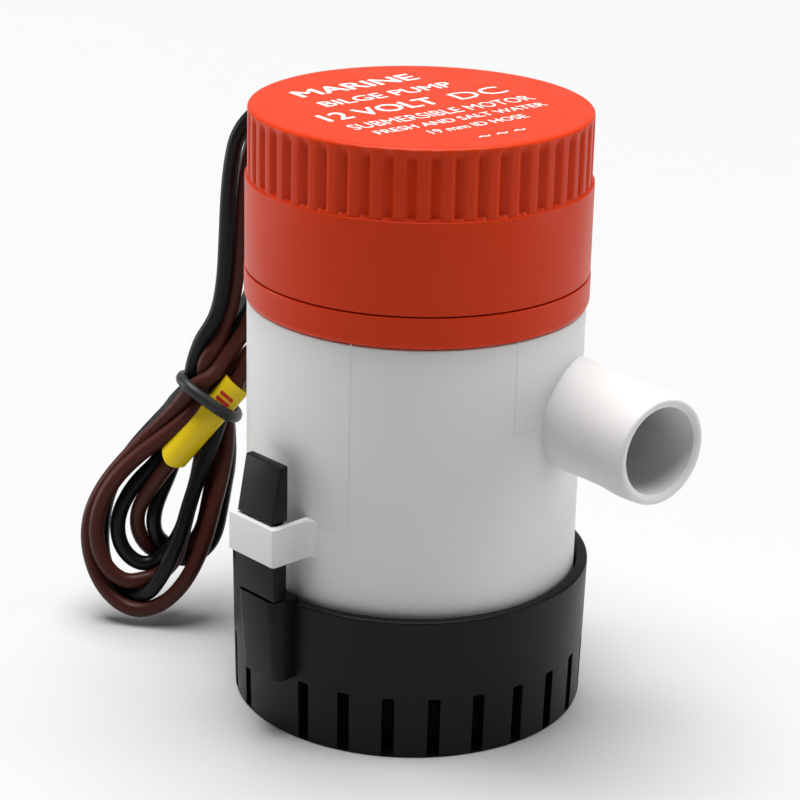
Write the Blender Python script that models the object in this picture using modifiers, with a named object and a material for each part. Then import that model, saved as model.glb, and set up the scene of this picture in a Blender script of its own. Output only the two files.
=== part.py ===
"""Submersible bilge pump: a snap-on strainer, a pump housing with a hose outlet, a sealed
motor canister with the motor inside it, a ribbed cap, and the two supply leads in a tied hank.

Frame: metres, +Z up. The origin is the middle of the strainer's underside, on the bilge floor.
The hose outlet points along +X and the leads leave the cap on the -X side.
"""

import math

import bmesh
import bpy
from mathutils import Matrix, Vector

# ---------------------------------------------------------------- driving dimensions (metres)

GAP = 0.0003                    # clearance between faces that touch on the real pump

# Pump housing, the white shell
BODY_RADIUS = 0.0300
BODY_WALL = 0.0020
HOUSING_LENGTH = 0.0620         # the wall that shows, from lower edge to collar ring
NECK_STEP = 0.0008              # the neck inside the collar ring is this much thinner
NECK_RADIUS = BODY_RADIUS - NECK_STEP
NECK_HEIGHT = 0.0054

# Hose outlet
OUTLET_HEIGHT = 0.0451          # axis above the housing's lower edge
OUTLET_REACH = 0.0490           # tip from the pump's axis, along X
OUTLET_OFFSET = 0.0145          # the outlet leaves the body to one side of its middle
OUTLET_BULGE_RADIUS = 0.0098    # grips a 19 mm hose
OUTLET_NECK_RADIUS = 0.0094
OUTLET_ROOT_RADIUS = 0.0100
OUTLET_BORE_RADIUS = 0.0078
OUTLET_START = 0.0120            # both it and its bore begin inside the wall

# Strainer, the black base
STRAINER_HEIGHT = 0.0264
STRAINER_WALL = 0.0020
STRAINER_CLEARANCE = 0.0005     # round the housing
STRAINER_DRAFT = 0.0005         # the foot is this much smaller than the rim
STRAINER_FLOOR = 0.0022
SEAT_HEIGHT = 0.0127            # ledge that the housing stands on
SEAT_THICKNESS = 0.0008
SLOT_PITCH = math.radians(14.4)
SLOT_COUNT = 25
SLOT_START = math.radians(-44.5)
SLOT_WIDTH = 0.0022
SLOT_TOP = 0.0115
FIXING_HOLE_RADIUS = 0.0023
FIXING_CIRCLE_RADIUS = 0.0200
FIXING_COUNT = 3

# Latches: a sprung arm on the strainer goes through a loop on the housing
LATCH_BEARINGS = {"front": math.radians(-85.4), "back": math.radians(94.6)}
BOSS_RISE = 0.0012              # boss above the strainer's rim
BOSS_FOOT = 0.0120
BOSS_HALF_WIDTH = 0.0050
BOSS_TOP_REACH = 0.0072         # outer face from the body's surface, at the top
BOSS_FOOT_REACH = 0.0060
BOSS_BEVEL = 0.0018
ARM_ROOM = 0.0041               # between the body and the arm, for the arm to flex into
ARM_THICKNESS = 0.00295
ARM_HALF_WIDTH = 0.0052
TONGUE_HALF_WIDTH = 0.0028
TONGUE_THICKNESS = 0.0016
TONGUE_DEPTH = 0.0024
LOOP_SETBACK = 0.0220           # loop's underside above the housing's lower edge
LOOP_HEIGHT = 0.0073
LOOP_REACH = 0.0080             # outer face from the body's surface
LOOP_BAR = 0.0017
LOOP_HALF_WIDTH = 0.00585
LOOP_SIDE_WALL = 0.0010
HOOK_HEIGHT = 0.0099
HOOK_TOP_THICKNESS = 0.00105
HOOK_GRIP = 0.0008              # ledge over the loop's bar

# Collar ring and ribbed motor cap, the orange parts
RING_HEIGHT = 0.00545
RING_RADIUS = BODY_RADIUS + 0.0005
CAP_HEIGHT = 0.02835
CAP_RADIUS = BODY_RADIUS + 0.0004
CAP_CLEARANCE = 0.00035         # over the canister's collar
CAP_ROOF = 0.0020
RIB_RADIUS = CAP_RADIUS - 0.0005
RIB_DEPTH = 0.0008
RIB_HEIGHT = 0.0123
RIB_COUNT = 48
RIB_GROOVE_WIDTH = 0.0015
CAP_EDGE = 0.0010

# Water passages
PLATE_THICKNESS = 0.0020
EYE_RADIUS = 0.0075
EYE_COLLAR = 0.0020
DIFFUSER_THICKNESS = 0.0020
DISC_RADIUS = 0.0200
SPOKE_COUNT = 4
SPOKE_WIDTH = 0.0060

# Motor canister, dry inside
CANISTER_RADIUS = 0.0225
CANISTER_WALL = 0.0018
CANISTER_FLOOR = 0.0044
COLLAR_WALL = 0.0020
COLLAR_HEIGHT = 0.0190
FLANGE_THICKNESS = 0.0043
O_RING_RADIUS = 0.00068
SEAL_RADIUS = 0.0050
SEAL_HEIGHT = 0.0022

# Motor
CAN_RADIUS = 0.0192
CAN_WALL = 0.0012
CAN_SHORTFALL = 0.0043          # the can is this much shorter than the housing that it fills
CAN_LENGTH = HOUSING_LENGTH - CAN_SHORTFALL
SHAFT_RADIUS = 0.0015
BEARING_RADIUS = 0.0042
BEARING_LENGTH = 0.0030
MAGNET_THICKNESS = 0.0037
MAGNET_LENGTH = CAN_LENGTH - 0.0257
MAGNET_SPLIT = 0.0045           # half the gap between the two magnets' edges
AIR_GAP = 0.0010
CORE_LENGTH = CAN_LENGTH - 0.0317
POLE_COUNT = 5
COMMUTATOR_RADIUS = 0.0040
COMMUTATOR_LENGTH = 0.0075
BELL_THICKNESS = 0.0050
BRUSH_LENGTH = 0.0053
BRUSH_WIDTH = 0.0030
BRUSH_HEIGHT = 0.0040
BRUSH_TRAVEL_ROOM = 0.0048      # room behind the brush, for its spring
TERMINAL_WIDTH = 0.0040
TERMINAL_THICKNESS = 0.0008
TERMINAL_HEIGHT = 0.0069
TERMINAL_OFFSET = 0.0110

# Impeller
IMPELLER_RADIUS = 0.0145
IMPELLER_HEIGHT = 0.0060
IMPELLER_DISC = 0.0014
VANE_THICKNESS = 0.0012
VANE_COUNT = 6
VANE_SWEEP = math.radians(28)

# Supply leads
LEAD_RADIUS = 0.0015
LEAD_SPACING = 0.0034
GLAND_RADIUS = 0.0043
GLAND_HEIGHT = 0.0210           # gland's axis above the cap's lower edge
INNER_LEAD_RADIUS = 0.0009
HANK_THICKNESS = 0.0100
HANK_BEARING = math.radians(51.4)   # the hank's broad face looks square to this bearing
HANK_TILT = math.radians(14.5)      # it leans away from the pump's front
HANK_SETBACK = 0.0200               # its foot behind the pump's axis
TIE_RADIUS = 0.0010
LABEL_WIDTH = 0.0050
LABEL_LENGTH = 0.0280
LABEL_THICKNESS = 0.0010

# ------------------------------------------------------------------------- derived levels

HOUSING_BOTTOM = SEAT_HEIGHT + GAP
HOUSING_TOP = HOUSING_BOTTOM + HOUSING_LENGTH
NECK_TOP = HOUSING_TOP + NECK_HEIGHT
OUTLET_AXIS = HOUSING_BOTTOM + OUTLET_HEIGHT
RING_BOTTOM = HOUSING_TOP + GAP
CAP_BOTTOM = RING_BOTTOM + RING_HEIGHT + GAP
CAP_TOP = CAP_BOTTOM + CAP_HEIGHT
BORE_RADIUS = BODY_RADIUS - BODY_WALL
FIT_RADIUS = BORE_RADIUS - GAP
RIM_RADIUS = BODY_RADIUS + STRAINER_CLEARANCE + STRAINER_WALL
FOOT_RADIUS = RIM_RADIUS - STRAINER_DRAFT
BOSS_TOP = STRAINER_HEIGHT + BOSS_RISE
ARM_INNER = BODY_RADIUS + ARM_ROOM
HINGE_RADIUS = ARM_INNER + 0.4 * ARM_THICKNESS
HINGE_HEIGHT = BOSS_TOP + GAP
LOOP_BOTTOM = HOUSING_BOTTOM + LOOP_SETBACK
LOOP_TOP = LOOP_BOTTOM + LOOP_HEIGHT
LOOP_OPENING = BODY_RADIUS + LOOP_REACH - LOOP_BAR
HOOK_FOOT = LOOP_TOP + GAP

PLATE_TOP = HOUSING_BOTTOM + PLATE_THICKNESS
IMPELLER_BOTTOM = PLATE_TOP + 2 * GAP
IMPELLER_TOP = IMPELLER_BOTTOM + IMPELLER_HEIGHT
DIFFUSER_BOTTOM = IMPELLER_TOP + 2 * GAP
DIFFUSER_TOP = DIFFUSER_BOTTOM + DIFFUSER_THICKNESS
CANISTER_BOTTOM = DIFFUSER_TOP + 0.0012
CANISTER_FLOOR_TOP = CANISTER_BOTTOM + CANISTER_FLOOR
FLANGE_TOP = HOUSING_TOP + 0.0033
FLANGE_BOTTOM = FLANGE_TOP - FLANGE_THICKNESS
CAN_BOTTOM = CANISTER_FLOOR_TOP + GAP
CAN_TOP = CAN_BOTTOM + CAN_LENGTH
CAN_BORE = CAN_RADIUS - CAN_WALL
BELL_TOP = CAN_TOP + GAP + 0.0010
BELL_BOTTOM = BELL_TOP - BELL_THICKNESS
MAGNET_INNER = CAN_BORE - GAP - MAGNET_THICKNESS
CORE_RADIUS = MAGNET_INNER - AIR_GAP
CORE_BOTTOM = CAN_BOTTOM + 0.0117
CORE_TOP = CORE_BOTTOM + CORE_LENGTH
COMMUTATOR_BOTTOM = CORE_TOP + 0.0060
COMMUTATOR_TOP = COMMUTATOR_BOTTOM + COMMUTATOR_LENGTH
BRUSH_MIDDLE = COMMUTATOR_BOTTOM + 0.0040
BRUSH_TIP = COMMUTATOR_RADIUS + GAP
RUNNING_BORE = SHAFT_RADIUS + GAP
GLAND_LEVEL = CAP_BOTTOM + GLAND_HEIGHT
GLAND_TIP = CAP_RADIUS + 0.0036
CAP_BORE = FIT_RADIUS + CAP_CLEARANCE

# The leads, from the gland to the tie, in world coordinates
LEAD_ROUTES = {
    "lead_black": (
        (-0.0344, -0.0017, 0.1020), (-0.0380, -0.0022, 0.1020), (-0.0415, -0.0042, 0.1006),
        (-0.0437, -0.0068, 0.0972), (-0.0448, -0.0084, 0.0925), (-0.0454, -0.0091, 0.0850),
        (-0.0457, -0.0094, 0.0760), (-0.0460, -0.0098, 0.0670), (-0.0470, -0.0109, 0.0590),
        (-0.0483, -0.0121, 0.0535),
    ),
    "lead_brown": (
        (-0.0344, 0.0017, 0.1020), (-0.0385, 0.0012, 0.1022), (-0.0421, -0.0006, 0.1004),
        (-0.0440, -0.0032, 0.0963), (-0.0450, -0.0050, 0.0905), (-0.0456, -0.0058, 0.0830),
        (-0.0459, -0.0061, 0.0750), (-0.0463, -0.0067, 0.0670), (-0.0473, -0.0078, 0.0592),
    ),
}

# The hank's outline, across and up its own plane: a round lower lobe, a waist in the tie
# and an upper lobe behind the pump
HANK_OUTLINE = (
    (-0.0436, 0.0460), (-0.0565, 0.0322), (-0.0636, 0.0200), (-0.0622, 0.0090),
    (-0.0550, 0.0026), (-0.0470, 0.0016), (-0.0392, 0.0062), (-0.0352, 0.0160),
    (-0.0338, 0.0290), (-0.0368, 0.0424), (-0.0220, 0.0540), (-0.0105, 0.0640),
    (-0.0080, 0.0780), (-0.0150, 0.0865), (-0.0240, 0.0820), (-0.0290, 0.0710),
    (-0.0326, 0.0592), (-0.0396, 0.0506),
)
TIE_PLACE = (-0.0393, 0.0446)
TIE_LEAN = math.radians(35)         # the waist leans this far from upright, in the hank's plane
TIE_HALF_WIDTH = 0.0063
TIE_HALF_DEPTH = 0.0084
LABEL_PLACE = (-0.0408, 0.0418)
LABEL_LEAN = math.radians(44)

SMOOTH_STEPS = 64
INNER_STEPS = 40
SMALL_STEPS = 24

ORANGE = (0.80, 0.105, 0.03)
WHITE = (0.80, 0.80, 0.79)
BLACK = (0.012, 0.012, 0.013)


# --------------------------------------------------------------------------------- helpers

def clear_scene():
    for item in list(bpy.data.objects):
        bpy.data.objects.remove(item, do_unlink=True)


def new_collection(name):
    group = bpy.data.collections.new(name)
    bpy.context.scene.collection.children.link(group)
    return group


def new_material(name, colour, roughness, metallic=0.0):
    material = bpy.data.materials.new(name)
    material.use_nodes = True
    shader = material.node_tree.nodes["Principled BSDF"]
    shader.inputs["Base Color"].default_value = (*colour, 1.0)
    shader.inputs["Roughness"].default_value = roughness
    shader.inputs["Metallic"].default_value = metallic
    return material


def mesh_object(name, bm):
    mesh = bpy.data.meshes.new(name)
    bm.to_mesh(mesh)
    bm.free()
    return bpy.data.objects.new(name, mesh)


def as_part(item, colour, roughness, metallic=0.0):
    """Put a finished object in the pump's collection, with a material of its own."""
    item.data.materials.append(new_material(item.name, colour, roughness, metallic))
    bpy.data.collections["bilge_pump"].objects.link(item)
    if item.type == "MESH":
        item.data.shade_smooth()
        item.data.set_sharp_from_angle(angle=math.radians(35))
    return item


def as_tool(item):
    """Put a shape that cuts, or is joined to, a part in the tools' collection."""
    bpy.data.collections["cutters"].objects.link(item)
    item.display_type = "WIRE"
    item.hide_render = True
    return item


def turned(name, profile, steps=SMOOTH_STEPS, ring=False):
    """A profile of (radius, height) turned about Z: down its outer side, top to bottom.

    A ring's profile is closed; any other profile starts and ends on the axis.
    """
    bm = bmesh.new()
    corners = [bm.verts.new((radius, 0.0, height)) for radius, height in profile]
    for start, end in zip(corners, corners[1:]):
        bm.edges.new((start, end))
    if ring:
        bm.edges.new((corners[-1], corners[0]))
    item = mesh_object(name, bm)
    screw = item.modifiers.new("turn", "SCREW")
    screw.axis = "Z"
    screw.steps = steps
    screw.render_steps = steps
    screw.use_merge_vertices = True
    screw.merge_threshold = 0.00001
    return item


def block(name, low, high, bevel_edges=None, bevel=0.0):
    """A box between two corners; bevel_edges picks the edges to bevel by their middles."""
    bm = bmesh.new()
    add_block(bm, low, high)
    if bevel_edges:
        edges = [edge for edge in bm.edges if bevel_edges(edge)]
        bmesh.ops.bevel(bm, geom=edges, offset=bevel, segments=2, profile=0.5,
                        affect="EDGES", material=-1)
    return mesh_object(name, bm)


def add_block(bm, low, high, turn=0.0):
    """Add a box to bm, then turn it about Z."""
    low = Vector(low)
    high = Vector(high)
    size = Matrix.Diagonal((*(high - low), 1.0))
    place = Matrix.Translation((low + high) / 2)
    bmesh.ops.create_cube(bm, size=1.0, matrix=Matrix.Rotation(turn, 4, "Z") @ place @ size)


def add_rod(bm, radius, bottom, top, centre=(0.0, 0.0), steps=SMALL_STEPS):
    """Add an upright cylinder to bm."""
    place = Matrix.Translation((centre[0], centre[1], (bottom + top) / 2))
    bmesh.ops.create_cone(bm, cap_ends=True, segments=steps, radius1=radius, radius2=radius,
                          depth=top - bottom, matrix=place)


def tube(name, points, radius, closed=False, resolution=2):
    """A round wire along points."""
    curve = bpy.data.curves.new(name, "CURVE")
    curve.dimensions = "3D"
    curve.bevel_depth = radius
    curve.bevel_resolution = resolution
    curve.use_fill_caps = not closed
    spline = curve.splines.new("POLY")
    spline.points.add(len(points) - 1)
    for slot, point in zip(spline.points, points):
        slot.co = (*point, 1.0)
    spline.use_cyclic_u = closed
    return bpy.data.objects.new(name, curve)


def smooth_route(knots, spacing):
    """Points a given spacing apart along a smooth curve through the knots."""
    knots = [Vector(knot) for knot in knots]
    ends = [2 * knots[0] - knots[1]] + knots + [2 * knots[-1] - knots[-2]]
    route = []
    for before, start, end, after in zip(ends, ends[1:], ends[2:], ends[3:]):
        count = max(1, round((end - start).length / spacing))
        for step in range(count):
            t = step / count
            route.append(0.5 * (2 * start + (end - before) * t
                                + (2 * before - 5 * start + 4 * end - after) * t ** 2
                                + (3 * start - before - 3 * end + after) * t ** 3))
    return route + [knots[-1]]


def outline(name, points, thickness):
    """A flat shape with a rounded outline, in the XY plane, thickened evenly about it."""
    curve = bpy.data.curves.new(name, "CURVE")
    curve.dimensions = "2D"
    curve.fill_mode = "BOTH"
    curve.extrude = thickness / 2
    curve.resolution_u = 4
    spline = curve.splines.new("BEZIER")
    spline.bezier_points.add(len(points) - 1)
    for knot, place in zip(spline.bezier_points, points):
        knot.co = (*place, 0.0)
        knot.handle_left_type = "AUTO"
        knot.handle_right_type = "AUTO"
    spline.use_cyclic_u = True
    return bpy.data.objects.new(name, curve)


def combine(item, tool, operation):
    boolean = item.modifiers.new(tool.name, "BOOLEAN")
    boolean.operation = operation
    boolean.object = as_tool(tool)
    boolean.solver = "EXACT"


def cut(item, tool):
    combine(item, tool, "DIFFERENCE")


def join(item, tool):
    combine(item, tool, "UNION")


def pivot(name, place):
    """An empty on a joint's axis."""
    empty = bpy.data.objects.new(name, None)
    empty.location = place
    bpy.context.scene.collection.objects.link(empty)
    return empty


def hang_on(item, empty):
    """Parent an object to a pivot and leave it where it is."""
    item.parent = empty
    item.matrix_parent_inverse = Matrix.Translation(-empty.location)


# --------------------------------------------------------------------------- the strainer

def away_from_latches(bearing):
    """True where a slot at this bearing is clear of both latches."""
    margin = math.radians(8)
    gaps = [math.remainder(bearing - latch, math.tau) for latch in LATCH_BEARINGS.values()]
    return min(abs(gap) for gap in gaps) > margin


def strainer():
    bore = BODY_RADIUS + STRAINER_CLEARANCE
    ledge = BORE_RADIUS + 0.0004
    item = turned("strainer", (
        (0.0, STRAINER_FLOOR), (bore - 0.0005, STRAINER_FLOOR),
        (bore - 0.0005, SEAT_HEIGHT - SEAT_THICKNESS), (ledge, SEAT_HEIGHT - SEAT_THICKNESS),
        (ledge, SEAT_HEIGHT), (bore, SEAT_HEIGHT), (bore, STRAINER_HEIGHT),
        (RIM_RADIUS, STRAINER_HEIGHT), (FOOT_RADIUS, 0.0004), (FOOT_RADIUS - 0.0004, 0.0),
        (0.0, 0.0),
    ))
    for side, bearing in LATCH_BEARINGS.items():
        join(item, latch_boss(side, bearing))
    slots = bmesh.new()
    for index in range(SLOT_COUNT):
        bearing = SLOT_START + index * SLOT_PITCH
        if away_from_latches(bearing):
            add_block(slots, (bore - 0.0020, -SLOT_WIDTH / 2, -0.0010),
                      (RIM_RADIUS + 0.0010, SLOT_WIDTH / 2, SLOT_TOP), turn=bearing)
    for index in range(FIXING_COUNT):
        bearing = index * math.tau / FIXING_COUNT
        centre = (FIXING_CIRCLE_RADIUS * math.cos(bearing), FIXING_CIRCLE_RADIUS * math.sin(bearing))
        add_rod(slots, FIXING_HOLE_RADIUS, -0.0010, STRAINER_FLOOR + 0.0010, centre)
    cut(item, mesh_object("strainer_holes", slots))
    for side, bearing in LATCH_BEARINGS.items():
        cut(item, latch_pocket(side, bearing))
    return as_part(item, BLACK, 0.45)


def latch_boss(side, bearing):
    """A tapered boss on the strainer's wall, which guards the foot of the latch's arm."""
    outer = BODY_RADIUS + BOSS_TOP_REACH
    item = block("boss_" + side, (RIM_RADIUS - 0.0015, -BOSS_HALF_WIDTH, BOSS_FOOT),
                 (outer, BOSS_HALF_WIDTH, BOSS_TOP),
                 bevel_edges=lambda edge: (min(vert.co.x for vert in edge.verts) > outer - GAP
                                           and abs(edge.verts[0].co.y - edge.verts[1].co.y) < GAP),
                 bevel=BOSS_BEVEL)
    for vert in item.data.vertices:
        depth = (BOSS_TOP - vert.co.z) / (BOSS_TOP - BOSS_FOOT)
        if vert.co.x > RIM_RADIUS:
            vert.co.x -= depth * (BOSS_TOP_REACH - BOSS_FOOT_REACH)
    item.rotation_euler.z = bearing
    return item


def latch_pocket(side, bearing):
    """The pocket in a boss that the arm's tongue stands in."""
    inner = HINGE_RADIUS - TONGUE_THICKNESS / 2 - GAP
    item = block("pocket_" + side,
                 (inner, -TONGUE_HALF_WIDTH - GAP, BOSS_TOP - TONGUE_DEPTH - GAP),
                 (inner + TONGUE_THICKNESS + 2 * GAP, TONGUE_HALF_WIDTH + GAP, BOSS_TOP + 0.0010))
    item.rotation_euler.z = bearing
    return item


def latch_arm(side, bearing):
    """A sprung arm: a shoulder under the loop, a waist inside it, and a hook over it."""
    empty = pivot("latch_hinge_" + side, (HINGE_RADIUS * math.cos(bearing),
                                          HINGE_RADIUS * math.sin(bearing), HINGE_HEIGHT))
    empty.rotation_euler.z = bearing
    shoulder = LOOP_BOTTOM - GAP
    waist_outer = LOOP_OPENING - 0.0004
    waist_half = LOOP_HALF_WIDTH - LOOP_SIDE_WALL - 0.00055
    hook_half = LOOP_HALF_WIDTH - LOOP_SIDE_WALL - 0.00025
    item = block("latch_arm_" + side, (ARM_INNER, -waist_half, HINGE_HEIGHT),
                 (waist_outer, waist_half, HOOK_FOOT + 0.0010))
    join(item, block("arm_foot_" + side, (ARM_INNER, -ARM_HALF_WIDTH, HINGE_HEIGHT),
                     (ARM_INNER + ARM_THICKNESS, ARM_HALF_WIDTH, shoulder)))
    join(item, latch_hook(side, hook_half))
    join(item, block("arm_tongue_" + side,
                     (HINGE_RADIUS - TONGUE_THICKNESS / 2, -TONGUE_HALF_WIDTH,
                      BOSS_TOP - TONGUE_DEPTH),
                     (HINGE_RADIUS + TONGUE_THICKNESS / 2, TONGUE_HALF_WIDTH,
                      HINGE_HEIGHT + 0.0010)))
    place = Matrix.Translation((-HINGE_RADIUS, 0.0, -HINGE_HEIGHT))
    item.data.transform(place)
    item.parent = empty
    for modifier in item.modifiers:
        modifier.object.data.transform(place)
        modifier.object.parent = empty
    return as_part(item, BLACK, 0.42)


def latch_hook(side, half_width):
    """The wedge at the top of an arm: a flat ledge below and a slope for the loop to ride on."""
    outer = LOOP_OPENING + HOOK_GRIP
    item = block("arm_hook_" + side, (ARM_INNER, -half_width, HOOK_FOOT),
                 (outer, half_width, HOOK_FOOT + HOOK_HEIGHT))
    for vert in item.data.vertices:
        if vert.co.z > HOOK_FOOT + GAP and vert.co.x > ARM_INNER + GAP:
            vert.co.x = ARM_INNER + HOOK_TOP_THICKNESS
    return item


# ---------------------------------------------------------------------- housing and cap

def pump_housing():
    """The shell: the wall, the outlet and the latch loops in one, then bored out from below."""
    item = turned("pump_housing", (
        (0.0, NECK_TOP), (BODY_RADIUS, NECK_TOP), (BODY_RADIUS, HOUSING_BOTTOM + 0.0003),
        (BODY_RADIUS - 0.0003, HOUSING_BOTTOM), (0.0, HOUSING_BOTTOM),
    ))
    join(item, outlet_spigot())
    clear = RING_RADIUS + GAP
    cut(item, turned("ring_seat", (
        (clear, NECK_TOP + 0.0010), (clear, HOUSING_TOP), (NECK_RADIUS, HOUSING_TOP),
        (NECK_RADIUS, NECK_TOP + 0.0010),
    ), ring=True))
    for side, bearing in LATCH_BEARINGS.items():
        join(item, latch_loop(side, bearing))
    bore = bmesh.new()
    add_rod(bore, BORE_RADIUS, HOUSING_BOTTOM - 0.0010, NECK_TOP + 0.0010, steps=SMOOTH_STEPS)
    cut(item, mesh_object("housing_bore", bore))
    cut(item, outlet_bore())
    return as_part(item, WHITE, 0.35)


def outlet_spigot():
    """The hose spigot, solid, turned about Z and then laid along +X."""
    tip = OUTLET_REACH
    lay = Matrix.Translation((0.0, OUTLET_OFFSET, OUTLET_AXIS)) @ Matrix.Rotation(math.pi / 2, 4, "Y")
    item = turned("outlet_spigot", (
        (0.0, tip), (OUTLET_BULGE_RADIUS - 0.0008, tip), (OUTLET_BULGE_RADIUS - 0.0003, tip - 0.0003),
        (OUTLET_BULGE_RADIUS, tip - 0.0012), (OUTLET_BULGE_RADIUS, tip - 0.0060),
        (OUTLET_NECK_RADIUS, tip - 0.0100), (OUTLET_NECK_RADIUS, tip - 0.0140),
        (OUTLET_ROOT_RADIUS, tip - 0.0185), (OUTLET_ROOT_RADIUS, OUTLET_START),
        (0.0, OUTLET_START),
    ), steps=48)
    item.matrix_world = lay
    return item


def outlet_bore():
    """The water way through the spigot and the housing's wall, with its mouth's edge broken."""
    tip = OUTLET_REACH
    lay = Matrix.Translation((0.0, OUTLET_OFFSET, OUTLET_AXIS)) @ Matrix.Rotation(math.pi / 2, 4, "Y")
    item = turned("outlet_bore", (
        (0.0, tip + 0.0010), (OUTLET_BORE_RADIUS + 0.0013, tip + 0.0010),
        (OUTLET_BORE_RADIUS, tip - 0.0003), (OUTLET_BORE_RADIUS, OUTLET_START),
        (0.0, OUTLET_START),
    ), steps=48)
    item.matrix_world = lay
    return item


def latch_loop(side, bearing):
    """A loop on the housing: a bar and two side walls, open above and below."""
    root = BODY_RADIUS - BODY_WALL / 2
    outer = BODY_RADIUS + LOOP_REACH
    item = block("loop_" + side, (root, -LOOP_HALF_WIDTH, LOOP_BOTTOM),
                 (outer, LOOP_HALF_WIDTH, LOOP_TOP),
                 bevel_edges=lambda edge: (min(vert.co.x for vert in edge.verts) > outer - GAP
                                           and abs(edge.verts[0].co.y - edge.verts[1].co.y) < GAP),
                 bevel=0.0009)
    opening = LOOP_HALF_WIDTH - LOOP_SIDE_WALL
    hollow = block("loop_hollow_" + side, (root - 0.0010, -opening, LOOP_BOTTOM - 0.0010),
                   (LOOP_OPENING, opening, LOOP_TOP + 0.0010))
    hollow.rotation_euler.z = bearing
    cut(item, hollow)
    item.rotation_euler.z = bearing
    return item


def collar_ring():
    inner = NECK_RADIUS + GAP
    item = turned("collar_ring", (
        (RING_RADIUS, RING_BOTTOM + RING_HEIGHT), (RING_RADIUS, RING_BOTTOM + 0.0006),
        (RING_RADIUS - 0.0002, RING_BOTTOM), (inner, RING_BOTTOM),
        (inner, RING_BOTTOM + RING_HEIGHT),
    ), ring=True)
    return as_part(item, ORANGE, 0.4)


def motor_cap():
    rib_bottom = CAP_TOP - RIB_HEIGHT
    item = turned("motor_cap", (
        (0.0, CAP_TOP - CAP_ROOF), (CAP_BORE - 0.0010, CAP_TOP - CAP_ROOF),
        (CAP_BORE, CAP_TOP - CAP_ROOF - 0.0010), (CAP_BORE, CAP_BOTTOM),
        (CAP_RADIUS, CAP_BOTTOM), (CAP_RADIUS, rib_bottom), (RIB_RADIUS, rib_bottom),
        (RIB_RADIUS, CAP_TOP - CAP_EDGE), (RIB_RADIUS - 0.3 * CAP_EDGE, CAP_TOP - 0.3 * CAP_EDGE),
        (RIB_RADIUS - CAP_EDGE, CAP_TOP), (0.0, CAP_TOP),
    ), steps=2 * RIB_COUNT)
    grooves = bmesh.new()
    for index in range(RIB_COUNT):
        bearing = (index + 0.5) * math.tau / RIB_COUNT
        add_block(grooves, (RIB_RADIUS - RIB_DEPTH, -RIB_GROOVE_WIDTH / 2, rib_bottom + 0.0001),
                  (CAP_RADIUS + 0.0010, RIB_GROOVE_WIDTH / 2, CAP_TOP + 0.0010), turn=bearing)
    cut(item, mesh_object("cap_grooves", grooves))
    hole = bmesh.new()
    add_rod(hole, GLAND_RADIUS + GAP, CAP_BORE - 0.0050, CAP_RADIUS + 0.0010)
    hole.transform(Matrix.Translation((0.0, 0.0, GLAND_LEVEL))
                   @ Matrix.Rotation(-math.pi / 2, 4, "Y"))
    cut(item, mesh_object("gland_hole", hole))
    return as_part(item, ORANGE, 0.4)


# --------------------------------------------------------------------------- water passages

def suction_plate():
    item = turned("suction_plate", (
        (FIT_RADIUS, PLATE_TOP), (FIT_RADIUS, HOUSING_BOTTOM + 0.0002),
        (EYE_RADIUS + 0.0018, HOUSING_BOTTOM + 0.0002),
        (EYE_RADIUS + 0.0018, HOUSING_BOTTOM - EYE_COLLAR),
        (EYE_RADIUS, HOUSING_BOTTOM - EYE_COLLAR), (EYE_RADIUS, PLATE_TOP),
    ), steps=INNER_STEPS, ring=True)
    return as_part(item, WHITE, 0.4)


def diffuser():
    """A disc over the impeller, on four spokes that leave the water its way up past the motor."""
    item = turned("diffuser", (
        (DISC_RADIUS, DIFFUSER_TOP), (DISC_RADIUS, DIFFUSER_BOTTOM), (SEAL_RADIUS, DIFFUSER_BOTTOM),
        (SEAL_RADIUS, DIFFUSER_TOP),
    ), steps=INNER_STEPS, ring=True)
    spokes = bmesh.new()
    for index in range(SPOKE_COUNT):
        add_block(spokes, (DISC_RADIUS - 0.0020, -SPOKE_WIDTH / 2, DIFFUSER_BOTTOM),
                  (FIT_RADIUS - 0.0002, SPOKE_WIDTH / 2, DIFFUSER_TOP),
                  turn=index * math.tau / SPOKE_COUNT)
    join(item, mesh_object("diffuser_spokes", spokes))
    return as_part(item, WHITE, 0.4)


def impeller():
    item = turned("impeller", (
        (IMPELLER_RADIUS, IMPELLER_TOP), (IMPELLER_RADIUS, IMPELLER_TOP - IMPELLER_DISC),
        (0.0036, IMPELLER_TOP - IMPELLER_DISC), (0.0036, IMPELLER_BOTTOM),
        (RUNNING_BORE, IMPELLER_BOTTOM), (RUNNING_BORE, IMPELLER_TOP),
    ), steps=INNER_STEPS, ring=True)
    root = 0.0031
    for index in range(VANE_COUNT):
        vane = block("vane_%d" % index, (0.0, -VANE_THICKNESS / 2, IMPELLER_BOTTOM + 0.0001),
                     (IMPELLER_RADIUS - root - 0.0006, VANE_THICKNESS / 2,
                      IMPELLER_TOP - IMPELLER_DISC / 2))
        bearing = index * math.tau / VANE_COUNT
        vane.location = (root * math.cos(bearing), root * math.sin(bearing), 0.0)
        vane.rotation_euler.z = bearing + VANE_SWEEP
        join(item, vane)
    return as_part(item, (0.02, 0.02, 0.022), 0.5)


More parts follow.
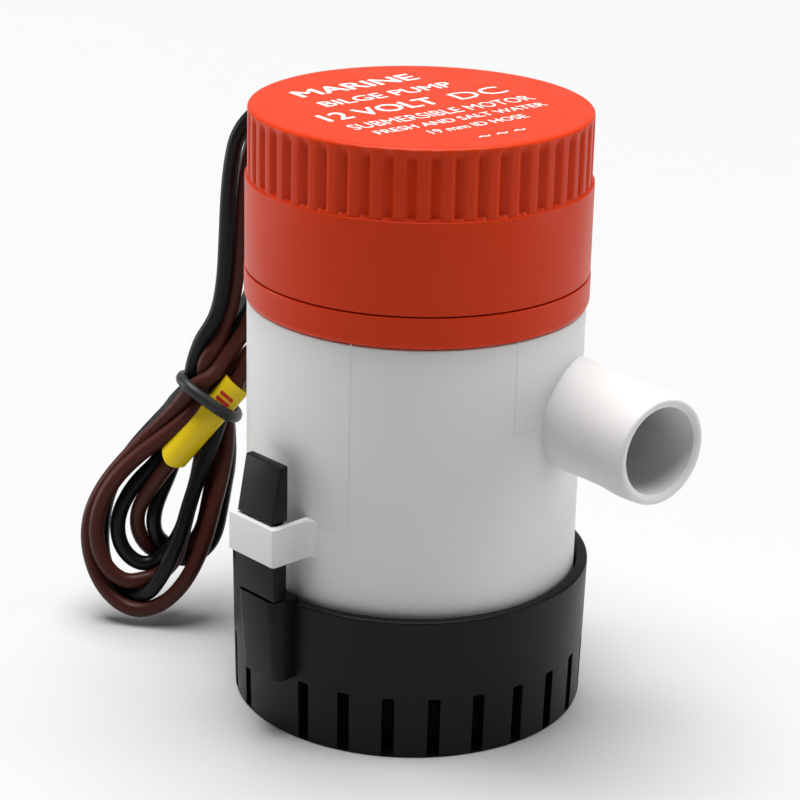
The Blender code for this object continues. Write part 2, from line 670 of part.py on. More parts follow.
def motor_canister():
    groove_low = FLANGE_TOP - 0.0030
    groove_high = groove_low + 2 * (O_RING_RADIUS + GAP) + 0.00004
    groove_floor = FIT_RADIUS - 2 * O_RING_RADIUS - 0.00039
    inner = CANISTER_RADIUS - CANISTER_WALL
    collar_top = HOUSING_TOP + COLLAR_HEIGHT
    item = turned("motor_canister", (
        (FIT_RADIUS, collar_top), (FIT_RADIUS, groove_high), (groove_floor, groove_high),
        (groove_floor, groove_low), (FIT_RADIUS, groove_low), (FIT_RADIUS, FLANGE_BOTTOM),
        (CANISTER_RADIUS, FLANGE_BOTTOM), (CANISTER_RADIUS, CANISTER_BOTTOM + 0.0008),
        (CANISTER_RADIUS - 0.0008, CANISTER_BOTTOM), (SEAL_RADIUS + GAP, CANISTER_BOTTOM),
        (SEAL_RADIUS + GAP, CANISTER_BOTTOM + SEAL_HEIGHT + 2 * GAP),
        (RUNNING_BORE + 0.0001, CANISTER_BOTTOM + SEAL_HEIGHT + 2 * GAP),
        (RUNNING_BORE + 0.0001, CANISTER_FLOOR_TOP), (inner, CANISTER_FLOOR_TOP),
        (inner, FLANGE_TOP), (FIT_RADIUS - COLLAR_WALL, FLANGE_TOP),
        (FIT_RADIUS - COLLAR_WALL, collar_top),
    ), steps=48, ring=True)
    return as_part(item, (0.10, 0.10, 0.11), 0.5)


def ring_part(name, inner, outer, bottom, top, colour, roughness, metallic=0.0):
    """A plain ring of square section."""
    item = turned(name, ((outer, top), (outer, bottom), (inner, bottom), (inner, top)),
                  steps=SMALL_STEPS, ring=True)
    return as_part(item, colour, roughness, metallic)


def canister_o_ring():
    centre = FIT_RADIUS - O_RING_RADIUS - 0.00007
    level = FLANGE_TOP - 0.0030 + O_RING_RADIUS + GAP + 0.00002
    section = [(centre + O_RING_RADIUS * math.cos(angle), level - O_RING_RADIUS * math.sin(angle))
               for angle in (step * math.tau / 8 for step in range(8))]
    return as_part(turned("canister_o_ring", section, steps=48, ring=True), BLACK, 0.7)


# ------------------------------------------------------------------------------ the motor

def motor_can():
    seat = CAN_BOTTOM + CAN_WALL
    item = turned("motor_can", (
        (CAN_RADIUS, CAN_TOP), (CAN_RADIUS, CAN_BOTTOM + 0.0008), (CAN_RADIUS - 0.0008, CAN_BOTTOM),
        (RUNNING_BORE + 0.0004, CAN_BOTTOM), (RUNNING_BORE + 0.0004, seat),
        (BEARING_RADIUS + GAP, seat), (BEARING_RADIUS + GAP, seat + BEARING_LENGTH),
        (BEARING_RADIUS + 0.0013, seat + BEARING_LENGTH), (BEARING_RADIUS + 0.0013, seat),
        (CAN_BORE, seat), (CAN_BORE, CAN_TOP),
    ), steps=INNER_STEPS, ring=True)
    return as_part(item, (0.55, 0.56, 0.58), 0.3, 1.0)


def magnet(side, sign):
    """Half a ring of magnet, on the can's wall on one side of the X axis."""
    bottom = (CORE_BOTTOM + CORE_TOP - MAGNET_LENGTH) / 2
    outer = CAN_BORE - GAP
    item = turned("magnet_" + side, (
        (outer, bottom + MAGNET_LENGTH), (outer, bottom), (MAGNET_INNER, bottom),
        (MAGNET_INNER, bottom + MAGNET_LENGTH),
    ), steps=INNER_STEPS, ring=True)
    reach = CAN_RADIUS
    edges = sorted((-sign * reach, sign * MAGNET_SPLIT))
    cut(item, block("magnet_cutter_" + side, (-reach, edges[0], bottom - 0.0010),
                    (reach, edges[1], bottom + MAGNET_LENGTH + 0.0010)))
    return as_part(item, (0.05, 0.05, 0.055), 0.6)


def slot_places(circle):
    """The middles of the core's slots, on a circle round the shaft."""
    angles = ((index + 0.5) * math.tau / POLE_COUNT for index in range(POLE_COUNT))
    return [(circle * math.cos(angle), circle * math.sin(angle), angle) for angle in angles]


def armature_core():
    item = turned("armature_core", (
        (CORE_RADIUS, CORE_TOP), (CORE_RADIUS, CORE_BOTTOM), (RUNNING_BORE, CORE_BOTTOM),
        (RUNNING_BORE, CORE_TOP),
    ), steps=INNER_STEPS, ring=True)
    slots = bmesh.new()
    for x, y, _ in slot_places(0.65 * CORE_RADIUS):
        add_rod(slots, 0.2 * CORE_RADIUS, CORE_BOTTOM - 0.0010, CORE_TOP + 0.0010, (x, y), steps=16)
    cut(item, mesh_object("core_slots", slots))
    mouths = bmesh.new()
    for _, _, angle in slot_places(CORE_RADIUS):
        add_block(mouths, (0.7 * CORE_RADIUS, -0.0006, CORE_BOTTOM - 0.0010),
                  (CORE_RADIUS + 0.0010, 0.0006, CORE_TOP + 0.0010), turn=angle)
    cut(item, mesh_object("core_mouths", mouths))
    return as_part(item, (0.30, 0.30, 0.31), 0.45, 1.0)


def armature_winding():
    """The copper: an end turn above and below the core, joined by the bars in its slots."""
    inner = 0.42 * CORE_RADIUS
    outer = 0.88 * CORE_RADIUS
    low = CORE_BOTTOM - GAP
    high = CORE_TOP + GAP
    item = turned("armature_winding", (
        (outer - 0.0010, high + 0.0038), (outer, high + 0.0028), (outer, high), (inner, high),
        (inner, high + 0.0038),
    ), steps=INNER_STEPS, ring=True)
    join(item, turned("winding_foot", (
        (outer, low), (outer, low - 0.0026), (outer - 0.0010, low - 0.0036),
        (inner, low - 0.0036), (inner, low),
    ), steps=INNER_STEPS, ring=True))
    for index, (x, y, _) in enumerate(slot_places(0.65 * CORE_RADIUS)):
        bar = bmesh.new()
        add_rod(bar, 0.2 * CORE_RADIUS - GAP, low - 0.0010, high + 0.0010, (x, y), steps=16)
        join(item, mesh_object("winding_bar_%d" % index, bar))
    return as_part(item, (0.60, 0.22, 0.08), 0.35, 1.0)


def commutator():
    item = turned("commutator", (
        (COMMUTATOR_RADIUS, COMMUTATOR_TOP), (COMMUTATOR_RADIUS, COMMUTATOR_BOTTOM),
        (RUNNING_BORE, COMMUTATOR_BOTTOM), (RUNNING_BORE, COMMUTATOR_TOP),
    ), steps=SMALL_STEPS, ring=True)
    slits = bmesh.new()
    for _, _, angle in slot_places(COMMUTATOR_RADIUS):
        add_block(slits, (COMMUTATOR_RADIUS - 0.0006, -0.0002, COMMUTATOR_BOTTOM - 0.0010),
                  (COMMUTATOR_RADIUS + 0.0010, 0.0002, COMMUTATOR_TOP - 0.0012), turn=angle)
    cut(item, mesh_object("commutator_slits", slits))
    return as_part(item, (0.70, 0.32, 0.14), 0.25, 1.0)


def motor_shaft():
    item = turned("motor_shaft", (
        (0.0, BELL_TOP - 0.0007), (SHAFT_RADIUS, BELL_TOP - 0.0007),
        (SHAFT_RADIUS, IMPELLER_BOTTOM + 0.0004), (0.0, IMPELLER_BOTTOM + 0.0004),
    ), steps=SMALL_STEPS)
    return as_part(item, (0.62, 0.63, 0.65), 0.2, 1.0)


def end_bell():
    """The plastic end of the motor: it closes the can and holds the bearing and brushes."""
    pocket = BELL_BOTTOM + BEARING_LENGTH + GAP
    item = turned("end_bell", (
        (CAN_RADIUS, BELL_TOP), (CAN_RADIUS, CAN_TOP + GAP), (CAN_BORE - GAP, CAN_TOP + GAP),
        (CAN_BORE - GAP, BELL_BOTTOM), (BEARING_RADIUS + GAP, BELL_BOTTOM),
        (BEARING_RADIUS + GAP, pocket), (RUNNING_BORE + 0.0002, pocket),
        (RUNNING_BORE + 0.0002, BELL_TOP),
    ), steps=INNER_STEPS, ring=True)
    wall = 0.0011
    half = BRUSH_WIDTH / 2 + GAP
    rear = BRUSH_TIP + BRUSH_LENGTH + BRUSH_TRAVEL_ROOM
    for side, sign in (("front", -1), ("back", 1)):
        ends = sorted((sign * (BRUSH_TIP + 0.0012), sign * (rear + wall)))
        low = BRUSH_MIDDLE - BRUSH_HEIGHT / 2 - GAP
        high = BRUSH_MIDDLE + BRUSH_HEIGHT / 2 + GAP
        join(item, block("brush_box_" + side, (-half - wall, ends[0], low - wall),
                         (half + wall, ends[1], BELL_BOTTOM + 0.0010)))
        ends = sorted((sign * BRUSH_TIP * 0.9, sign * rear))
        cut(item, block("brush_tunnel_" + side, (-half, ends[0], low), (half, ends[1], high)))
        x = sign * TERMINAL_OFFSET
        cut(item, block("terminal_pocket_" + side,
                        (x - TERMINAL_THICKNESS / 2 - GAP, -TERMINAL_WIDTH / 2 - GAP,
                         BELL_TOP - 0.0018),
                        (x + TERMINAL_THICKNESS / 2 + GAP, TERMINAL_WIDTH / 2 + GAP,
                         BELL_TOP + 0.0010)))
    return as_part(item, (0.03, 0.03, 0.032), 0.5)


def brush(side, sign):
    """A carbon brush, whose origin is at its tip, on the line that it slides along."""
    ends = sorted((sign * BRUSH_TIP, sign * (BRUSH_TIP + BRUSH_LENGTH)))
    item = block("brush_" + side, (-BRUSH_WIDTH / 2, ends[0], BRUSH_MIDDLE - BRUSH_HEIGHT / 2),
                 (BRUSH_WIDTH / 2, ends[1], BRUSH_MIDDLE + BRUSH_HEIGHT / 2))
    hang_on(item, pivot("brush_slide_" + side, (0.0, sign * BRUSH_TIP, BRUSH_MIDDLE)))
    return as_part(item, (0.03, 0.03, 0.03), 0.7)


def brush_spring(side, sign):
    """A small coil spring between a brush and the end of its tunnel."""
    turns = 4
    points_per_turn = 10
    wire = 0.00025
    start = BRUSH_TIP + BRUSH_LENGTH + GAP + wire
    end = BRUSH_TIP + BRUSH_LENGTH + BRUSH_TRAVEL_ROOM - GAP - wire
    points = []
    for step in range(turns * points_per_turn + 1):
        angle = step * math.tau / points_per_turn
        along = start + (end - start) * step / (turns * points_per_turn)
        points.append((0.0011 * math.cos(angle), sign * along,
                       BRUSH_MIDDLE + 0.0011 * math.sin(angle)))
    return as_part(tube("brush_spring_" + side, points, wire, resolution=1),
                   (0.6, 0.6, 0.6), 0.3, 1.0)


def terminal(name, sign):
    x = sign * TERMINAL_OFFSET
    bottom = BELL_TOP - 0.0015
    item = block(name, (x - TERMINAL_THICKNESS / 2, -TERMINAL_WIDTH / 2, bottom),
                 (x + TERMINAL_THICKNESS / 2, TERMINAL_WIDTH / 2, bottom + TERMINAL_HEIGHT))
    return as_part(item, (0.75, 0.55, 0.22), 0.3, 1.0)


# ------------------------------------------------------------------------- leads and gland

def cable_gland():
    """A rubber gland in the cap's wall, turned about Z and then laid along -X."""
    flange = CAP_BORE - 0.0011
    item = turned("cable_gland", (
        (0.0, GLAND_TIP), (GLAND_RADIUS - 0.0006, GLAND_TIP), (GLAND_RADIUS, GLAND_TIP - 0.0030),
        (GLAND_RADIUS, flange), (GLAND_RADIUS + 0.0007, flange),
        (GLAND_RADIUS + 0.0007, flange - 0.0012), (0.0, flange - 0.0012),
    ), steps=SMALL_STEPS)
    item.matrix_world = (Matrix.Translation((0.0, 0.0, GLAND_LEVEL))
                         @ Matrix.Rotation(-math.pi / 2, 4, "Y"))
    return as_part(item, BLACK, 0.6)


def inner_leads():
    """The thin leads from the terminals up to the gland's inner face."""
    top = BELL_TOP - 0.0015 + TERMINAL_HEIGHT + INNER_LEAD_RADIUS + GAP
    end = -(CAP_BORE - 0.0023) + GAP
    half = LEAD_SPACING / 2
    brown = (
        (-TERMINAL_OFFSET, 0.0, top), (-TERMINAL_OFFSET - 0.0008, 0.0003, top + 0.0030),
        (-0.6 * CAP_BORE, half, GLAND_LEVEL - 0.0010), (end, half, GLAND_LEVEL),
    )
    black = (
        (TERMINAL_OFFSET, 0.0, top), (TERMINAL_OFFSET - 0.0012, -0.0006, top + 0.0036),
        (0.0, -0.0026, GLAND_LEVEL), (-0.6 * CAP_BORE, -half, GLAND_LEVEL + 0.0004),
        (end, -half, GLAND_LEVEL),
    )
    as_part(tube("inner_lead_brown", smooth_route(brown, 0.0020), INNER_LEAD_RADIUS),
            (0.09, 0.03, 0.02), 0.5)
    as_part(tube("inner_lead_black", smooth_route(black, 0.0020), INNER_LEAD_RADIUS), BLACK, 0.5)


def hank_place():
    """The hank's own plane: X runs across it, Y up it, and Z looks out of its front."""
    across = Vector((math.cos(HANK_BEARING), math.sin(HANK_BEARING), 0.0))
    behind = Vector((-math.sin(HANK_BEARING), math.cos(HANK_BEARING), 0.0))
    upward = math.sin(HANK_TILT) * behind + math.cos(HANK_TILT) * Vector((0.0, 0.0, 1.0))
    front = across.cross(upward)
    axes = Matrix((across, upward, front)).transposed().to_4x4()
    return Matrix.Translation(HANK_SETBACK * behind) @ axes


def supply_leads():
    """The two leads: a free stretch from the gland, then one hank in a tie, with a label."""
    colours = {"lead_black": BLACK, "lead_brown": (0.09, 0.03, 0.02)}
    for name, knots in LEAD_ROUTES.items():
        as_part(tube(name, smooth_route(knots, 0.0035), LEAD_RADIUS), colours[name], 0.5)
    place = hank_place()
    hank = outline("lead_hank", HANK_OUTLINE, HANK_THICKNESS)
    hank.matrix_world = place
    as_part(hank, (0.06, 0.025, 0.02), 0.5)
    ring = []
    for step in range(28):
        angle = step * math.tau / 28
        across = math.copysign(abs(math.cos(angle)) ** 0.7, math.cos(angle))
        deep = math.copysign(abs(math.sin(angle)) ** 0.7, math.sin(angle))
        ring.append((TIE_HALF_WIDTH * across, 0.0, TIE_HALF_DEPTH * deep))
    tie = tube("lead_tie", ring, TIE_RADIUS, closed=True)
    tie.matrix_world = (place @ Matrix.Translation((*TIE_PLACE, 0.0))
                        @ Matrix.Rotation(-TIE_LEAN, 4, "Z"))
    as_part(tie, BLACK, 0.6)
    front = HANK_THICKNESS / 2 + GAP
    label = block("lead_label", (-LABEL_WIDTH / 2, -LABEL_LENGTH / 2, front),
                  (LABEL_WIDTH / 2, LABEL_LENGTH / 2, front + LABEL_THICKNESS))
    label.matrix_world = (place @ Matrix.Translation((*LABEL_PLACE, 0.0))
                          @ Matrix.Rotation(-LABEL_LEAN, 4, "Z"))
    as_part(label, (0.80, 0.62, 0.03), 0.4)


# -------------------------------------------------------------------------------- assembly

def main():
    clear_scene()
    new_collection("bilge_pump")
    new_collection("cutters")
    strainer()
    for side, bearing in LATCH_BEARINGS.items():
        latch_arm(side, bearing)
    pump_housing()
    collar_ring()
    motor_cap()
    suction_plate()
    diffuser()
    motor_canister()
    canister_o_ring()
    ring_part("shaft_seal", RUNNING_BORE, SEAL_RADIUS, CANISTER_BOTTOM + GAP,
              CANISTER_BOTTOM + GAP + SEAL_HEIGHT, (0.02, 0.02, 0.02), 0.7)
    motor_can()
    magnet("front", -1)
    magnet("back", 1)
    bronze = (0.45, 0.28, 0.12)
    ring_part("lower_bearing", RUNNING_BORE, BEARING_RADIUS, CAN_BOTTOM + CAN_WALL + GAP,
              CAN_BOTTOM + CAN_WALL + GAP + BEARING_LENGTH, bronze, 0.35, 1.0)
    ring_part("upper_bearing", RUNNING_BORE, BEARING_RADIUS, BELL_BOTTOM,
              BELL_BOTTOM + BEARING_LENGTH, bronze, 0.35, 1.0)
    end_bell()
    for side, sign in (("front", -1), ("back", 1)):
        brush(side, sign)
        brush_spring(side, sign)
    terminal("terminal_positive", -1)
    terminal("terminal_negative", 1)
    cable_gland()
    inner_leads()
    shaft_line = pivot("rotor_axis", (0.0, 0.0, IMPELLER_BOTTOM))
    rotor = [motor_shaft(), armature_core(), armature_winding(), commutator(), impeller()]
    washer_low = CAN_BOTTOM + CAN_WALL + BEARING_LENGTH + 3 * GAP
    rotor.append(ring_part("lower_thrust_washer", RUNNING_BORE, 0.0034, washer_low,
                           washer_low + 0.0008, (0.7, 0.7, 0.65), 0.4))
    rotor.append(ring_part("upper_thrust_washer", RUNNING_BORE, 0.0034, BELL_BOTTOM - 0.0012,
                           BELL_BOTTOM - 0.0004, (0.7, 0.7, 0.65), 0.4))
    for piece in rotor:
        hang_on(piece, shaft_line)
    supply_leads()


main()
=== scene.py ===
"""Finished look of a bilge pump: moulded shells, a printed cap and a tied hank of leads."""

import math

import bmesh
import bpy
import numpy as np
from mathutils import Matrix, Vector


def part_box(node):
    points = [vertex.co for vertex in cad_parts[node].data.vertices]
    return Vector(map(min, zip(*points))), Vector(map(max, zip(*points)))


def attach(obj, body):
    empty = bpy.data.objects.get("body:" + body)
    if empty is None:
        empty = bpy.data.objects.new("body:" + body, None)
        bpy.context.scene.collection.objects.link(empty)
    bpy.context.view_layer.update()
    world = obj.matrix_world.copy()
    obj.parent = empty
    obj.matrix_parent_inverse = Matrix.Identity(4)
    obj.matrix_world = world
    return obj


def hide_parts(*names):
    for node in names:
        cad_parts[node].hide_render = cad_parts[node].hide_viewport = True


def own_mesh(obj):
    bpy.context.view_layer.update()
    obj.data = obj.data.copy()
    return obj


bl_info = {
    "name": "Bilge Pump",
    "version": (1, 0, 0),
    "blender": (4, 5, 0),
    "location": "3D View > Sidebar > Bilge Pump",
    "description": "Builds the finished pieces, materials and stage of a submersible bilge pump",
    "category": "Object",
}

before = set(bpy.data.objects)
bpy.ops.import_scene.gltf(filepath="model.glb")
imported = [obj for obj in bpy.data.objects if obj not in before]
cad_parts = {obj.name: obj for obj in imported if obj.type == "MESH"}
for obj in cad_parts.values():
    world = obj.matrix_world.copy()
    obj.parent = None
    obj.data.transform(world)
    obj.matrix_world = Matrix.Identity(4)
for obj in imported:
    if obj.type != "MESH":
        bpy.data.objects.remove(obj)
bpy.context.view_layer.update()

MM = 0.001
BOSS_TOP = 27.6 * MM
SHELL_LOW, SHELL_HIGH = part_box("pump_housing")
RING_LOW, RING_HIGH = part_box("collar_ring")
CAP_LOW, CAP_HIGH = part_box("motor_cap")
GLAND_LOW, GLAND_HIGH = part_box("cable_gland")
GLAND_LEVEL = (GLAND_LOW.z + GLAND_HIGH.z) / 2

BODY_RADIUS = 30.0 * MM
BODY_WALL = 2.0 * MM
NECK_RADIUS = 29.2 * MM
OUTLET_LEVEL = SHELL_LOW.z + 44.7 * MM
OUTLET_TIP = SHELL_HIGH.x
OUTLET_ASIDE = 14.5 * MM
OUTLET_BORE = 7.8 * MM
LOOP_LOW = SHELL_LOW.z + 22.0 * MM
LOOP_HIGH = LOOP_LOW + 6.95 * MM
LATCHES = {"front": math.radians(-85.4), "back": math.radians(94.6)}
RIB_COUNT = 48
RIB_HEIGHT = 12.3 * MM
RIB_RADIUS = 29.95 * MM
SLOT_COUNT = 25
SLOT_PITCH = math.radians(14.4)
SLOT_START = math.radians(-44.5)
SLOT_HALF_WIDTH = 1.1 * MM
SLOT_TOP = 11.5 * MM
FLOOR_THICKNESS = 2.2 * MM
ARM_INNER = 34.1 * MM


# ---- settings

def length_setting(name, description, default, low, high):
    """A length that a user may set, given in millimetres."""
    return bpy.props.FloatProperty(name=name, description=description, default=default * MM,
                                   min=low * MM, max=high * MM, unit="LENGTH")


def colour_setting(name, description, default):
    return bpy.props.FloatVectorProperty(name=name, description=description, default=default,
                                         subtype="COLOR", size=3, min=0, max=1)


class PumpSizes(bpy.types.PropertyGroup):
    """Sizes that may change without touching the fit of the parts."""

    rib_depth: length_setting(
        "Rib depth", "How deep the grooves between the cap's ribs are", 0.95, 0.2, 1.5)
    lead_diameter: length_setting(
        "Lead diameter", "Outer diameter of each supply lead", 3.0, 2.0, 4.0)
    print_height: length_setting(
        "Print height", "How far the ink stands on the cap", 0.04, 0.01, 0.2)


class PumpColours(bpy.types.PropertyGroup):
    """Colours of the visible finishes."""

    cap: colour_setting("Cap", "Orange of the cap and ring", (0.60, 0.036, 0.003))
    shell: colour_setting("Shell", "Off-white of the pump housing", (0.74, 0.74, 0.735))
    base: colour_setting("Base", "Black of the strainer and latches", (0.0055, 0.0055, 0.006))
    brown: colour_setting("Brown lead", "Brown insulation", (0.058, 0.013, 0.008))
    black: colour_setting("Black lead", "Black insulation", (0.005, 0.0055, 0.0065))
    sleeve: colour_setting("Sleeve", "Yellow of the lead's sleeve", (0.80, 0.58, 0.012))


# ---- node groups

def new_group(name, inputs, outputs):
    """An empty shader group with its sockets, each given as a name and a kind."""
    group = bpy.data.node_groups.new(name, "ShaderNodeTree")
    for way, sockets in (("INPUT", inputs), ("OUTPUT", outputs)):
        for socket, kind in sockets.items():
            group.interface.new_socket(socket, in_out=way, socket_type="NodeSocket" + kind)
    return group


def moulded_group():
    """Shared by every moulded plastic: a slow drift of tone, a fine grain and handling marks."""
    group = new_group(
        "Moulded surface",
        {"Colour": "Color", "Roughness": "Float", "Grain": "Float", "Drift": "Float"},
        {"Colour": "Color", "Roughness": "Float", "Height": "Float"})
    nodes, links = group.nodes, group.links
    inside = nodes.new("NodeGroupInput")
    outside = nodes.new("NodeGroupOutput")
    place = nodes.new("ShaderNodeTexCoord")
    drift = noise(nodes, 38.0, 3.0, 0.5)
    smear = noise(nodes, 160.0, 4.0, 0.6)
    grain = noise(nodes, 5200.0, 2.0, 0.5)
    for texture in (drift, smear, grain):
        links.new(place.outputs["Object"], texture.inputs["Vector"])
    centred = maths(nodes, links, "SUBTRACT", drift.outputs["Fac"], 0.5)
    tone = maths(nodes, links, "MULTIPLY", centred, inside.outputs["Drift"])
    value = maths(nodes, links, "ADD", tone, 1.0)
    shade = nodes.new("ShaderNodeHueSaturation")
    links.new(inside.outputs["Colour"], shade.inputs["Color"])
    links.new(value, shade.inputs["Value"])
    links.new(shade.outputs["Color"], outside.inputs["Colour"])
    spread = maths(nodes, links, "SUBTRACT", smear.outputs["Fac"], 0.5)
    spread = maths(nodes, links, "MULTIPLY", spread, 0.16)
    rough = maths(nodes, links, "ADD", inside.outputs["Roughness"], spread)
    links.new(rough, outside.inputs["Roughness"])
    height = maths(nodes, links, "MULTIPLY", grain.outputs["Fac"], inside.outputs["Grain"])
    links.new(height, outside.inputs["Height"])
    return group


def brushed_group():
    """Shared by the bare metals: fine lines and a little tarnish."""
    group = new_group(
        "Drawn metal",
        {"Colour": "Color", "Tarnish": "Color", "Roughness": "Float"},
        {"Colour": "Color", "Roughness": "Float", "Height": "Float"})
    nodes, links = group.nodes, group.links
    inside = nodes.new("NodeGroupInput")
    outside = nodes.new("NodeGroupOutput")
    place = nodes.new("ShaderNodeTexCoord")
    stretch = nodes.new("ShaderNodeMapping")
    stretch.inputs["Scale"].default_value = (60.0, 60.0, 4000.0)
    links.new(place.outputs["Object"], stretch.inputs["Vector"])
    lines = noise(nodes, 1.0, 3.0, 0.6)
    links.new(stretch.outputs["Vector"], lines.inputs["Vector"])
    bloom = noise(nodes, 140.0, 4.0, 0.6)
    links.new(place.outputs["Object"], bloom.inputs["Vector"])
    mask = nodes.new("ShaderNodeMapRange")
    mask.inputs["From Min"].default_value = 0.48
    mask.inputs["From Max"].default_value = 0.75
    links.new(bloom.outputs["Fac"], mask.inputs["Value"])
    blend = nodes.new("ShaderNodeMix")
    blend.data_type = "RGBA"
    links.new(mask.outputs["Result"], blend.inputs["Factor"])
    links.new(inside.outputs["Colour"], blend.inputs["A"])
    links.new(inside.outputs["Tarnish"], blend.inputs["B"])
    links.new(blend.outputs["Result"], outside.inputs["Colour"])
    spread = maths(nodes, links, "MULTIPLY", lines.outputs["Fac"], 0.22)
    rough = maths(nodes, links, "ADD", inside.outputs["Roughness"], spread)
    links.new(rough, outside.inputs["Roughness"])
    links.new(lines.outputs["Fac"], outside.inputs["Height"])
    return group


def noise(nodes, scale, detail, roughness):
    texture = nodes.new("ShaderNodeTexNoise")
    texture.inputs["Scale"].default_value = scale
    texture.inputs["Detail"].default_value = detail
    texture.inputs["Roughness"].default_value = roughness
    return texture


def maths(nodes, links, operation, first, second):
    """A Math node on a socket and either a socket or a number; returns its output."""
    node = nodes.new("ShaderNodeMath")
    node.operation = operation
    links.new(first, node.inputs[0])
    if isinstance(second, float):
        node.inputs[1].default_value = second
    else:
        links.new(second, node.inputs[1])
    return node.outputs[0]


def finish(name, maker, group_name, bump, values):
    """A new material whose colour, roughness and grain come from a shared group, and its shader."""
    material = bpy.data.materials.new(name)
    material.use_nodes = True
    nodes, links = material.node_tree.nodes, material.node_tree.links
    shader = nodes["Principled BSDF"]
    surface = nodes.new("ShaderNodeGroup")
    surface.node_tree = bpy.data.node_groups.get(group_name) or maker()
    for socket, value in values.items():
        surface.inputs[socket].default_value = value
    relief = nodes.new("ShaderNodeBump")
    relief.inputs["Strength"].default_value = bump
    relief.inputs["Distance"].default_value = 0.2 * MM
    links.new(surface.outputs["Colour"], shader.inputs["Base Color"])
    links.new(surface.outputs["Roughness"], shader.inputs["Roughness"])
    links.new(surface.outputs["Height"], relief.inputs["Height"])
    links.new(relief.outputs["Normal"], shader.inputs["Normal"])
    return material, shader


def plastic(name, colour, roughness, grain=0.5, drift=0.06, bump=0.02, scatter=0.0, shine=0.35):
    """Moulded plastic or rubber, with its own colour, gloss and grain."""
    if name in bpy.data.materials:
        return bpy.data.materials[name]
    material, shader = finish(name, moulded_group, "Moulded surface", bump, {
        "Colour": (*colour, 1.0), "Roughness": roughness, "Grain": grain, "Drift": drift})
    shader.inputs["Specular IOR Level"].default_value = shine
    if scatter:
        shader.inputs["Subsurface Weight"].default_value = scatter
        shader.inputs["Subsurface Radius"].default_value = (1.2 * MM, 0.8 * MM, 0.6 * MM)
        shader.inputs["Subsurface Scale"].default_value = 1.0
    return material


def metal(name, colour, tarnish, roughness):
    """Bare metal with fine drawing lines."""
    if name in bpy.data.materials:
        return bpy.data.materials[name]
    material, shader = finish(name, brushed_group, "Drawn metal", 0.03, {
        "Colour": (*colour, 1.0), "Tarnish": (*tarnish, 1.0), "Roughness": roughness})
    shader.inputs["Metallic"].default_value = 1.0
    return material


def cap_plastic():
    return plastic("Orange moulding", bpy.context.scene.pump_colours.cap, 0.36, grain=0.5,
                   drift=0.05, bump=0.03, scatter=0.02, shine=0.14)


def shell_plastic():
    return plastic("Off-white moulding", bpy.context.scene.pump_colours.shell, 0.42, grain=0.5,
                   drift=0.03, bump=0.03, scatter=0.1)


def base_plastic():
    return plastic("Black moulding", bpy.context.scene.pump_colours.base, 0.40, grain=0.7,
                   drift=0.2, bump=0.08, shine=0.16)


def brown_insulation():
    return plastic("Brown insulation", bpy.context.scene.pump_colours.brown, 0.42, grain=0.8,
                   drift=0.35, bump=0.08, shine=0.2)


def black_insulation():
    return plastic("Black insulation", bpy.context.scene.pump_colours.black, 0.36, grain=0.8,
                   drift=0.3, bump=0.08, shine=0.2)


def black_rubber():
    return plastic("Black rubber", (0.016, 0.016, 0.016), 0.6, grain=1.0, drift=0.2, bump=0.1)


def plated_steel():
    return metal("Plated steel", (0.62, 0.63, 0.64), (0.45, 0.44, 0.42), 0.18)


# ---- meshes

def softened(corners, spans=4):
    """A profile's points from (radius, height, rounding) corners, each corner drawn as a curve."""
    points = []
    last = len(corners) - 1
    for index, (radius, height, rounding) in enumerate(corners):
        here = Vector((radius, height))
        if rounding <= 0.0 or index in (0, last):
            points.append(here)
            continue
        before = Vector(corners[index - 1][:2]) - here
        after = Vector(corners[index + 1][:2]) - here
        start = here + before.normalized() * min(rounding, 0.49 * before.length)
        end = here + after.normalized() * min(rounding, 0.49 * after.length)
        for step in range(spans + 1):
            t = step / spans
            points.append((1 - t) ** 2 * start + 2 * t * (1 - t) * here + t ** 2 * end)
    return points


def spun(points, steps, closed=False):
    """A bmesh of a profile spun once round Z."""
    bm = bmesh.new()
    row = [bm.verts.new((point.x, 0.0, point.y)) for point in points]
    edges = [bm.edges.new(pair) for pair in zip(row, row[1:])]
    if closed:
        edges.append(bm.edges.new((row[-1], row[0])))
    bmesh.ops.spin(bm, geom=row + edges, cent=(0, 0, 0), axis=(0, 0, 1), angle=math.tau,
                   steps=steps, use_merge=True)
    bmesh.ops.remove_doubles(bm, verts=bm.verts, dist=0.00001)
    bmesh.ops.recalc_face_normals(bm, faces=bm.faces)
    return bm


def slab(low, high, rounding=0.0, segments=3):
    """A bmesh box between two corners, with rounded edges."""
    bm = bmesh.new()
    low, high = Vector(low), Vector(high)
    bmesh.ops.create_cube(bm, size=1.0, matrix=Matrix.Translation((low + high) / 2)
                          @ Matrix.Diagonal((*(high - low), 1.0)))
    if rounding:
        round_edges(bm, rounding, segments)
    return bm


def bevel(bm, edges, rounding, segments):
    bmesh.ops.bevel(bm, geom=edges, offset=rounding, affect="EDGES", segments=segments,
                    profile=0.5, material=-1, clamp_overlap=True)


def round_edges(bm, rounding, segments=3, angle=math.radians(30)):
    """Round every edge whose faces turn by more than an angle."""
    bevel(bm, [edge for edge in bm.edges if edge.is_manifold and edge.calc_face_angle() > angle],
          rounding, segments)


def gathered(parts):
    """One bmesh out of several, which are used up."""
    whole = bmesh.new()
    for part in parts:
        mesh = bpy.data.meshes.new("part")
        part.to_mesh(mesh)
        part.free()
        whole.from_mesh(mesh)
        bpy.data.meshes.remove(mesh)
    return whole


